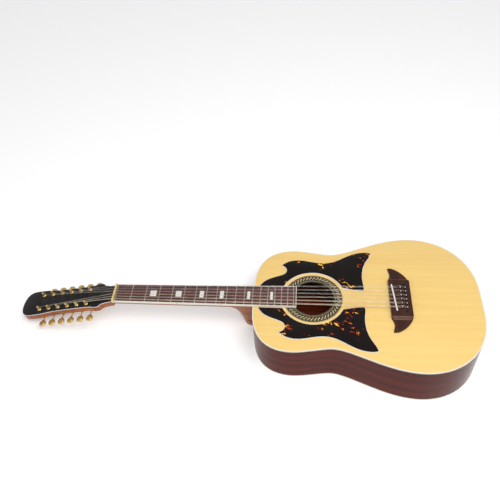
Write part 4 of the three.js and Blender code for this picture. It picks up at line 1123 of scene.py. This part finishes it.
NUT_FRONT = -2.7
NUT_TOP = 9.5
SLOT_FLOOR = 7.1
ivory = plastic_finish("aged_ivory", (0.80, 0.62, 0.27), 0.3)
section = [(-26.15, BOARD_LOW), (26.15, BOARD_LOW), (26.15, NUT_TOP - 1.6), (25.6, NUT_TOP - 0.4),
           (24.6, NUT_TOP)]
for place in reversed(string_places):
    half_slot = place["radius"] + 0.3
    y = place["nut_y"]
    section.append((y + half_slot, NUT_TOP))
    section += [(y + half_slot * math.cos(a), SLOT_FLOOR + half_slot * 0.6
                 - half_slot * 0.6 * math.sin(a))
                for a in (math.pi * k / 8 for k in range(9))]
    section.append((y - half_slot, NUT_TOP))
section += [(-24.6, NUT_TOP), (-25.6, NUT_TOP - 0.4), (-26.15, NUT_TOP - 1.6)]
drawing = bmesh.new()
near = [drawing.verts.new((NUT_BACK + 0.05, y, z)) for y, z in section]
far = [drawing.verts.new((NUT_FRONT - 0.05, y, z)) for y, z in section]
join_rings(drawing, [near, far])
settle(drawing, "nut_comb", "guitar", ivory, nodes=["nut"], sharp=50)

# ---------------------------------------------------------------------------------------------
# Tuning machines: plates and ears
# One stamped, gold-plated strip each side of the headstock's back holds six machines. Pairs of
# ears carry the worm shafts, and domed screws hold the strip between them.
# ---------------------------------------------------------------------------------------------

PLATE_TOP = -16.9
PLATE_BOTTOM = -18.1
PLATE_HALF = 8.6
WORM_Z = -21.1
WORM_X = 6.302
STRIP_NEAR = -56.35
STRIP_FAR = -204.5
EAR_INNER = 5.85
EAR_OUTER = 7.15
EAR_RADIUS = 3.2
gold = steel_finish("worn_gold", (0.86, 0.60, 0.24), 0.2, marks=0.3)
for side, sign in (("bass", -1), ("treble", 1)):
    own = [m for m in machines if m["sign"] == sign]
    row = sign * POST_ROW
    drawing = bmesh.new()
    corner = 3.5
    strip_loop = []
    for cx, cy, first in ((STRIP_NEAR - corner, row + PLATE_HALF - corner, 0),
                          (STRIP_FAR + corner, row + PLATE_HALF - corner, 90),
                          (STRIP_FAR + corner, row - PLATE_HALF + corner, 180),
                          (STRIP_NEAR - corner, row - PLATE_HALF + corner, 270)):
        for k in range(7):
            angle = math.radians(first + 15 * k)
            strip_loop.append(Vector((cx + corner * math.cos(angle),
                                      cy + corner * math.sin(angle))))
    add_plate(drawing, strip_loop, PLATE_BOTTOM, PLATE_TOP,
              [circle(m["x"], m["y"], 3.3, 24) for m in own])
    settle(drawing, f"tuner_strip_{side}", "guitar", gold,
           nodes=[f"tuner_plate_{side}"], edge=0.2, place=TOP @ HEAD)
    drawing = bmesh.new()
    for m in own:
        for end in (-1, 1):
            y_near = m["y"] + end * EAR_INNER
            y_far = m["y"] + end * EAR_OUTER
            profile = [(m["x"] + WORM_X - EAR_RADIUS, PLATE_BOTTOM + 0.1)]
            for k in range(13):
                angle = math.pi + math.pi * k / 12
                profile.append((m["x"] + WORM_X + EAR_RADIUS * math.cos(angle),
                                WORM_Z + EAR_RADIUS * math.sin(angle)))
            profile.append((m["x"] + WORM_X + EAR_RADIUS, PLATE_BOTTOM + 0.1))
            near = [drawing.verts.new((x, y_near, z)) for x, z in profile]
            far = [drawing.verts.new((x, y_far, z)) for x, z in profile]
            join_rings(drawing, [near, far])
    settle(drawing, f"tuner_ears_{side}", "guitar", gold, edge=0.15,
           place=TOP @ HEAD)
    drawing = bmesh.new()
    screws = [(m["x"] - POST_STEP / 2 + 1, row + dy) for m in own[:-1] for dy in (-5.6, 5.6)]
    for x, y in screws:
        flip = at(x, y, PLATE_BOTTOM) @ Matrix.Rotation(math.pi, 4, "X")
        turned(drawing, [(2.0, 0.0), (1.9, 0.35), (1.3, 0.8), (0.55, 0.98), (0.5, 0.6),
                         (0, 0.6)], 24, flip)
    settle(drawing, f"tuner_screws_{side}", "guitar", gold, sharp=60,
           place=TOP @ HEAD)
    drawing = bmesh.new()
    for m in own:
        turned(drawing, [(3.35, 0.02), (5.1, 0.02), (5.1, 0.5), (4.8, 0.95), (4.5, 1.1),
                         (4.3, 1.7), (3.9, 2.0), (3.35, 2.0), (3.35, 0.02)], 40,
               at(m["x"], m["y"], 0))
    settle(drawing, f"post_bushings_{side}", "guitar", gold, sharp=50,
           place=TOP @ HEAD)

# ---------------------------------------------------------------------------------------------
# Tuning machines: posts and gears
# Each post stands through the headstock on the axis of its twelve-tooth brass gear, and its
# string is wound round the waist near the top.
# ---------------------------------------------------------------------------------------------

GEAR_TEETH = 12
WORM_PITCH = 2.2
GEAR_TIP = 4.4
GEAR_ROOT = 3.3
brass = steel_finish("gear_brass", (0.66, 0.47, 0.20), 0.32, marks=0.35)
string_steel = steel_finish("string_steel", (0.82, 0.81, 0.78), 0.25)
string_bronze = steel_finish("string_bronze", (0.62, 0.46, 0.28), 0.34)
gear_pitch_radius = GEAR_TEETH * WORM_PITCH / (2 * math.pi)
tooth_lean = WORM_PITCH / (2 * math.pi * 2.1) / gear_pitch_radius


def tube(drawing, points, radius, sides=8):
    """Adds a closed round rod along a line of points."""
    rows = []
    side = None
    for i, p in enumerate(points):
        ahead = (points[min(i + 1, len(points) - 1)] - points[max(i - 1, 0)]).normalized()
        if side is None:
            side = ahead.orthogonal().normalized()
        side = (side - ahead * side.dot(ahead)).normalized()
        other = ahead.cross(side)
        rows.append([drawing.verts.new(p + (side * math.cos(a) + other * math.sin(a)) * radius)
                     for a in (2 * math.pi * k / sides for k in range(sides))])
    join_rings(drawing, rows)


string_at_machine = {}
for place in string_places:
    i = place["number"] - 1
    machine = machines[i] if i < COURSES else machines[3 * COURSES - 1 - i]
    string_at_machine[machine["number"]] = place

for m in machines:
    number = m["number"]
    body = f"tuner_post_{number}_body"
    stand = TOP @ HEAD @ at(m["x"], m["y"], 0)
    drawing = bmesh.new()
    turned(drawing, [(0, -22.85), (2.6, -22.85), (2.95, -22.5), (2.95, 3.5), (2.45, 4.3),
                     (2.45, 6.7), (2.95, 7.4), (2.95, 9.6), (2.7, 10.15), (2.1, 10.4),
                     (0.9, 10.45), (0.8, 9.9), (0, 9.9)], 32, at(0, 0, 0))
    settle(drawing, f"post_{number}", body, gold, nodes=[f"tuner_post_{number}"],
           sharp=45, place=stand)
    drawing = bmesh.new()
    rim = []
    for k in range(GEAR_TEETH):
        middle = 2 * math.pi * k / GEAR_TEETH
        for turned_by, radius in ((-15, GEAR_ROOT), (-10, GEAR_ROOT + 0.03), (-5.5, 3.9),
                                  (-2.4, GEAR_TIP - 0.02), (2.4, GEAR_TIP - 0.02), (5.5, 3.9),
                                  (10, GEAR_ROOT + 0.03)):
            angle = middle + math.radians(turned_by)
            rim.append((radius * math.cos(angle), radius * math.sin(angle)))
    rows = []
    for dz in (-1.45, 0, 1.45):
        spin = Matrix.Rotation(dz * tooth_lean, 4, "Z")
        rows.append([drawing.verts.new(spin @ Vector((x, y, WORM_Z + dz))) for x, y in rim])
    join_rings(drawing, rows)
    settle(drawing, f"gear_{number}", body, brass, sharp=30, place=stand)
    place = string_at_machine[number]
    wire = place["radius"]
    drawing = bmesh.new()
    turns = max(1.5, min(4.5, 2.2 / (2 * wire)))
    top_z = 5.3 - wire * 0.2
    coil = []
    steps = int(turns * 20)
    for k in range(steps + 1):
        angle = 2 * math.pi * k / 20
        z = top_z - turns * wire + wire * 2.02 * k / 20
        coil.append(Vector(((2.5 + wire) * math.cos(angle), (2.5 + wire) * math.sin(angle), z)))
    tube(drawing, coil, wire)
    settle(drawing, f"winding_{number}", body,
           string_bronze if place["wound"] else string_steel, sharp=60, place=stand)

# ---------------------------------------------------------------------------------------------
# Tuning machines: worms and knobs
# A gold-plated worm and its shaft turn in the ears, with an oval button pressed on the end.
# ---------------------------------------------------------------------------------------------

BUTTON_AT = 19.5
BUTTON_LENGTH = 16
BUTTON_HALF_WIDTH = 9
BUTTON_HALF_THICKNESS = 3.7
BUTTON_SIDES = 28
for m in machines:
    number = m["number"]
    body = f"tuner_knob_{number}_body"
    lie = TOP @ HEAD @ at(m["x"] + WORM_X, m["y"], WORM_Z)
    if m["sign"] < 0:
        lie = lie @ Matrix.Rotation(math.pi, 4, "X")
    outward = Matrix.Rotation(-math.pi / 2, 4, "X")
    drawing = bmesh.new()
    turned(drawing, [(0, -8.45), (1.0, -8.45), (1.25, -8.2), (1.25, 8.6), (2.3, 8.7),
                     (2.3, 9.6), (1.6, 9.9), (1.25, 10.6), (1.25, BUTTON_AT - 1.2),
                     (2.3, BUTTON_AT - 0.6), (2.5, BUTTON_AT + 1), (0, BUTTON_AT + 1)], 24,
           outward)
    settle(drawing, f"knob_shaft_{number}", body, gold,
           nodes=[f"tuner_knob_{number}"], sharp=45, place=lie)
    drawing = bmesh.new()
    columns = 24
    rows = []
    for k in range(4 * columns + 1):
        angle = 2 * math.pi * k / columns - math.pi / 2
        start = (-2 + k / columns) * WORM_PITCH
        rows.append([drawing.verts.new((radius * math.sin(angle), start + along,
                                        radius * math.cos(angle)))
                     for along, radius in ((-0.575, 1.6), (0.575, 1.6), (0.925, 2.66),
                                           (1.275, 2.66), (1.62, 1.6))])
    for row, far in zip(rows, rows[1:]):
        for i in range(1, 4):
            drawing.faces.new((row[i], row[i + 1], far[i + 1], far[i]))
        drawing.faces.new((row[4], row[1], far[1], far[4]))
    for row in (rows[0], rows[-1]):
        drawing.faces.new(row[1:])
    bmesh.ops.delete(drawing, geom=[v for v in drawing.verts if not v.link_faces],
                     context="VERTS")
    turned(drawing, [(0, -5.4), (1.58, -5.4), (1.62, -5.2), (1.62, 5.2), (1.58, 5.4), (0, 5.4)],
           24, outward)
    settle(drawing, f"worm_{number}", body, gold, sharp=30, place=lie)
    drawing = bmesh.new()
    rows = []
    for share, size in ((0.0, 0.20), (0.015, 0.34), (0.07, 0.52), (0.16, 0.72), (0.3, 0.88),
                        (0.45, 0.97), (0.6, 0.985), (0.75, 0.95), (0.87, 0.83), (0.95, 0.64),
                        (0.985, 0.46), (0.998, 0.2)):
        ring = []
        for k in range(BUTTON_SIDES):
            angle = 2 * math.pi * k / BUTTON_SIDES
            across = math.copysign(abs(math.sin(angle)) ** 0.9, math.sin(angle))
            pinch = 1 - 0.1 * abs(math.sin(angle)) ** 4
            ring.append(drawing.verts.new((
                size * BUTTON_HALF_WIDTH * across, BUTTON_AT + share * BUTTON_LENGTH,
                min(1, size * 1.3) * BUTTON_HALF_THICKNESS * math.cos(angle) * pinch)))
        rows.append(ring)
    join_rings(drawing, rows)
    settle(drawing, f"button_{number}", body, gold, sharp=60, place=lie)

# ---------------------------------------------------------------------------------------------
# Strings
# Six pairs run from the bridge pins over the saddle, the zero fret and the nut to the posts. The
# four thickest are steel wound with bronze, and the others are plain steel.
# ---------------------------------------------------------------------------------------------

bronze_wound, tree, shader, places = new_finish("bronze_winding", metallic=1.0)
split = tree.nodes.new("ShaderNodeSeparateXYZ")
tree.links.new(places["Object"], split.inputs[0])
wraps = calc(tree, "SINE", calc(tree, "MULTIPLY", split.outputs["X"], 9000.0))
dull = between(tree, noise(tree, places["Object"], 50, 4), 0.3, 0.7)
tree.links.new(mixed(tree, dull, (0.82, 0.70, 0.52, 1), (0.60, 0.48, 0.34, 1)),
               shader.inputs["Base Color"])
tree.links.new(between(tree, dull, 0, 1, 0.28, 0.45), shader.inputs["Roughness"])
raise_bump(tree, shader, wraps, 0.00004)


def head_point(x, y, z):
    return HEAD @ Vector((x, y, z))


for place in string_places:
    number = place["number"]
    machine = next(m for m in machines if string_at_machine[m["number"]] is place)
    wire = place["radius"]
    hole_x = place["pin_x"] - 1.4
    bed = BRIDGE_HEIGHT + 0.3 + wire
    route = [Vector((hole_x, place["pin_y"], -8)), Vector((hole_x, place["pin_y"], bed)),
             Vector((hole_x - 0.8, place["pin_y"], bed + 0.5))]
    if place["second"]:
        pass_y = place["pin_y"] + 3.9 + wire
        route += [Vector((666, pass_y, bed + 0.8)), Vector((660, pass_y, bed + 1.1))]
    cross_x = saddle_x(place["saddle_y"])
    route.append(Vector((cross_x, place["saddle_y"], 12.5 + wire)))
    share = -NUT_BACK / (cross_x - NUT_BACK)
    zero_y = place["nut_y"] + (place["saddle_y"] - place["nut_y"]) * share
    route.append(Vector((0, zero_y, 7.8 + wire)))
    route.append(Vector((NUT_BACK, place["nut_y"], 7.4 + wire)))
    reach = 2.8 + wire
    ahead, inward = (0.94 * reach, 0.34 * reach) if machine["nearest"] else (0, reach)
    route.append(head_point(machine["x"] + ahead, machine["sign"] * (POST_ROW - inward), 5.5))
    softened = [route[0]]
    for before, corner, after in zip(route, route[1:], route[2:]):
        for target in (before, after):
            way = target - corner
            softened.append(corner + way.normalized() * min(0.4, way.length / 3))
    softened.append(route[-1])
    drawing = bmesh.new()
    tube(drawing, softened, wire * 0.98, 10)
    settle(drawing, f"wire_{number}", "guitar",
           bronze_wound if place["wound"] else string_steel, nodes=[f"string_{number}"], sharp=60)

# ---------------------------------------------------------------------------------------------
# End pin
# A turned cream plastic pin in the tail block, for the end of a strap.
# ---------------------------------------------------------------------------------------------

drawing = bmesh.new()
turned(drawing, [(0, -19.9), (3.6, -19.9), (3.95, 0.3), (7.2, 0.35), (7.45, 0.8), (7.3, 1.9),
                 (5.6, 3.2), (4.7, 4.2), (4.5, 7.5), (4.8, 9.2), (6.4, 10.4), (7.35, 11.3),
                 (7.45, 12.1), (7.0, 12.8), (5.5, 12.98), (0, 13.0)], 40,
       at(BODY_END, 0, PIN_FACE.z) @ Matrix.Rotation(math.pi / 2, 4, "Y"))
settle(drawing, "end_pin_turned", "guitar", ivory, nodes=["end_pin"], sharp=60)
